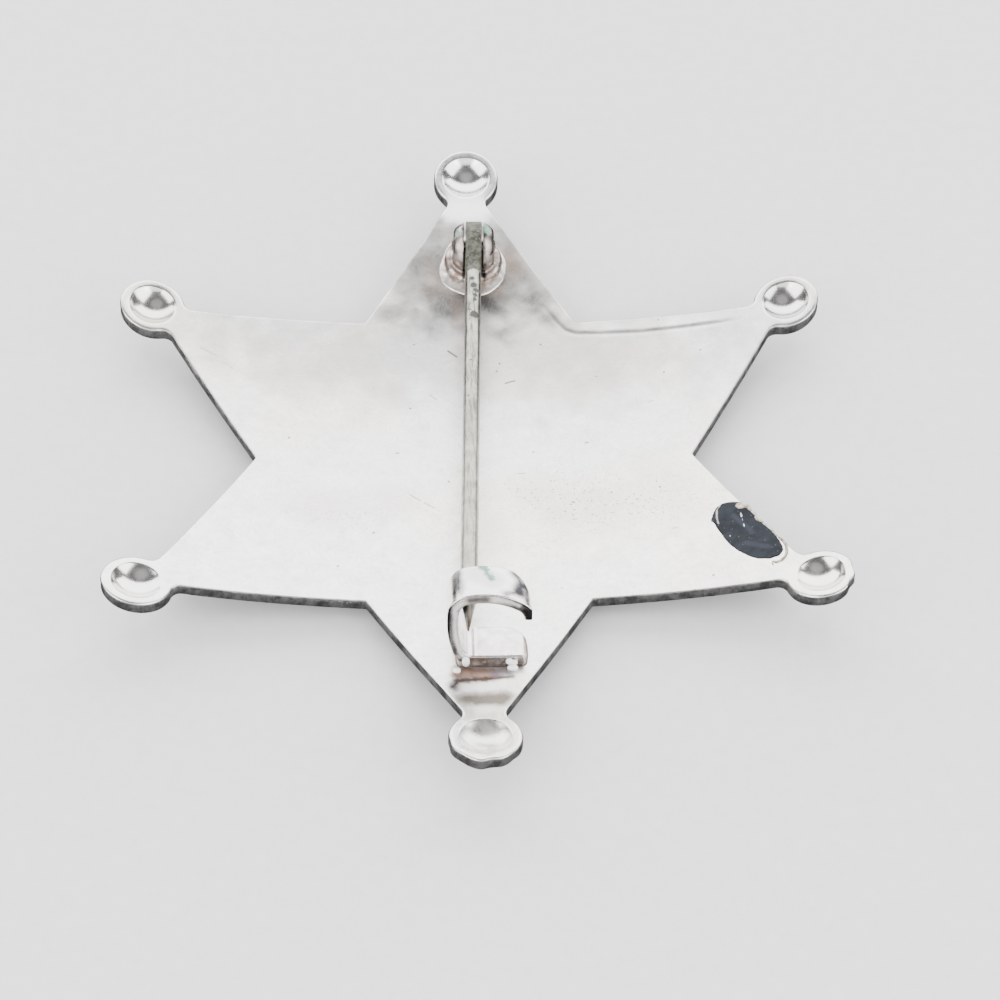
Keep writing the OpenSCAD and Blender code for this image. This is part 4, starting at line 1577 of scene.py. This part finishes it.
def burr_tree():
    """Torn burrs of metal scattered along lines on the edge."""
    inputs = [
        ("Spacing", "NodeSocketFloat", 0.12),
        ("Smallest", "NodeSocketFloat", 0.03),
        ("Largest", "NodeSocketFloat", 0.09),
        ("Scatter", "NodeSocketFloat", 0.05),
        ("Seed", "NodeSocketInt", BURR_SEED),
        ("Finish", "NodeSocketMaterial", None),
    ]
    tree, given = new_tree("edge_burrs", inputs)
    start = Wire(tree)

    def drawn_by_lot(low, high, step):
        kind = {"data_type": "FLOAT_VECTOR"}
        seed = given["Seed"] + float(step)
        return start.make("FunctionNodeRandomValue", kind, {0: low, 1: high, "Seed": seed})

    line = start.make("GeometryNodeMeshToCurve", None, {0: given["Geometry"]})
    along = {"Curve": line, "Length": given["Spacing"]}
    points = line.make("GeometryNodeCurveToPoints", {"mode": "LENGTH"}, along)
    spread = drawn_by_lot((-1.0, -1.0, -1.0), (1.0, 1.0, 1.0), 0).scaled(given["Scatter"])
    points = points.make("GeometryNodeSetPosition", None, {"Geometry": points, "Offset": spread})
    grit = start.make("GeometryNodeMeshIcoSphere", None, {"Radius": 1.0, "Subdivisions": 1})
    turn = drawn_by_lot((0.0, 0.0, 0.0), (FULL_TURN,) * 3, 1)
    share = drawn_by_lot((0.0, 0.0, 0.0), (1.0, 1.0, 1.0), 2)
    size = share.scaled(given["Largest"] - given["Smallest"])
    size = size.vectors("ADD", start.vector(*[given["Smallest"]] * 3))
    placed = points.make(
        "GeometryNodeInstanceOnPoints",
        None,
        {"Points": points, "Instance": grit, "Rotation": turn, "Scale": size},
    )
    close_tree(placed, given["Finish"])
    return tree


def edge_line(first, last, drop, steps=24):
    """Places along a straight part of the star's edge, drop below the back."""
    line = []
    for i in range(steps + 1):
        p = Vector(first).lerp(Vector(last), i / steps)
        line.append((p.x, p.y, worn_back(p.x, p.y) - drop))
    return line


# Burred parts of the edge: from, to, drop below the back, spacing, largest burr
BURRED = (
    ((-17.95, 0.6), (-23.5, 10.2), 0.1, 0.11, 0.07),
    ((-13.3, -15.2), (-9.8, -15.22), 0.2, 0.09, 0.1),
    ((-20.2, -15.2), (-13.6, -15.2), 0.12, 0.35, 0.05),
    ((10.0, 15.2), (22.6, 15.2), 0.1, 0.5, 0.04),
    ((18.0, -0.7), (21.2, -6.3), 0.08, 0.3, 0.04),
)


def make_burrs(material):
    tree = burr_tree()
    parts = []
    for number, (first, last, drop, spacing, largest) in enumerate(BURRED):
        line = edge_line(first, last, drop)
        mesh = bpy.data.meshes.new("burr_line")
        mesh.from_pydata(line, [(i, i + 1) for i in range(len(line) - 1)], [])
        settings = {
            "Spacing": spacing,
            "Smallest": BURR_SMALLEST * largest,
            "Largest": largest,
            "Scatter": BURR_SCATTER * largest,
            "Seed": BURR_SEED + number,
            "Finish": material,
        }
        parts.append(grow("burr_row", tree, settings, mesh))
    form = bmesh.new()
    for part in parts:
        form.from_mesh(part.data)
    for part in parts:
        bpy.data.objects.remove(part)
    burrs = keep_form("edge_burrs", form, material)
    burrs.data.transform(Matrix.Scale(MM, 4))
    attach(burrs, "badge")


make_burrs(star_finishes[1])


# Floor and light


def soft_box(name, azimuth, elevation, distance, wide, tall, watts, seen):
    """A soft box aimed at the badge. Azimuth 0 stands behind the joint, 90 to the right."""
    a, e = math.radians(azimuth), math.radians(elevation)
    away = Vector((math.sin(a) * math.cos(e), math.cos(a) * math.cos(e), math.sin(e)))
    data = bpy.data.lights.new(name, "AREA")
    data.shape = "RECTANGLE"
    data.size = wide
    data.size_y = tall
    data.energy = watts
    lamp = bpy.data.objects.new(name, data)
    scene.collection.objects.link(lamp)
    turned = away.to_track_quat("Z", "Y").to_matrix().to_4x4()
    lamp.matrix_world = Matrix.Translation(away * distance) @ turned
    lamp.visible_glossy = seen


def make_floor():
    form = bmesh.new()
    bmesh.ops.create_grid(form, x_segments=8, y_segments=8, size=1.5)
    floor = keep_form("floor", form, floor_paper())
    floor.visible_glossy = False


make_floor()
# Name, azimuth, elevation, distance, width, height, watts, and whether metal mirrors it
for row in (
    ("back_panel", 0.0, 33.0, 0.9, 2.2, 0.95, 35.0, True),
    ("front_panel", 180.0, 26.0, 1.0, 2.0, 0.6, 9.0, True),
    ("left_box", -117.0, 26.0, 0.8, 0.85, 0.8, 11.0, True),
    ("right_box", 117.0, 26.0, 0.8, 0.85, 0.8, 11.0, True),
    ("floor_light", 0.0, 88.0, 1.0, 1.0, 1.0, 6.0, False),
):
    soft_box(*row)


def make_studio(above, below, overhead):
    """Dim surroundings: a grey room with a lighter ceiling, and darkness below the table."""
    world = bpy.data.worlds.new("studio")
    scene.world = world
    world.use_nodes = True
    sky = world.node_tree.nodes["Background"]
    room = Wire(world.node_tree)
    _, _, up = room.make("ShaderNodeTexCoord", None, None, out="Generated").parts()
    colour = up.rise(-0.05, 0.35).tint(below, above)
    colour = up.rise(0.9, 0.985).tint(colour, overhead)
    world.node_tree.links.new(colour.socket, sky.inputs["Color"])


make_studio(above=(0.17, 0.17, 0.175), below=(0.03, 0.03, 0.032), overhead=(0.6, 0.6, 0.6))
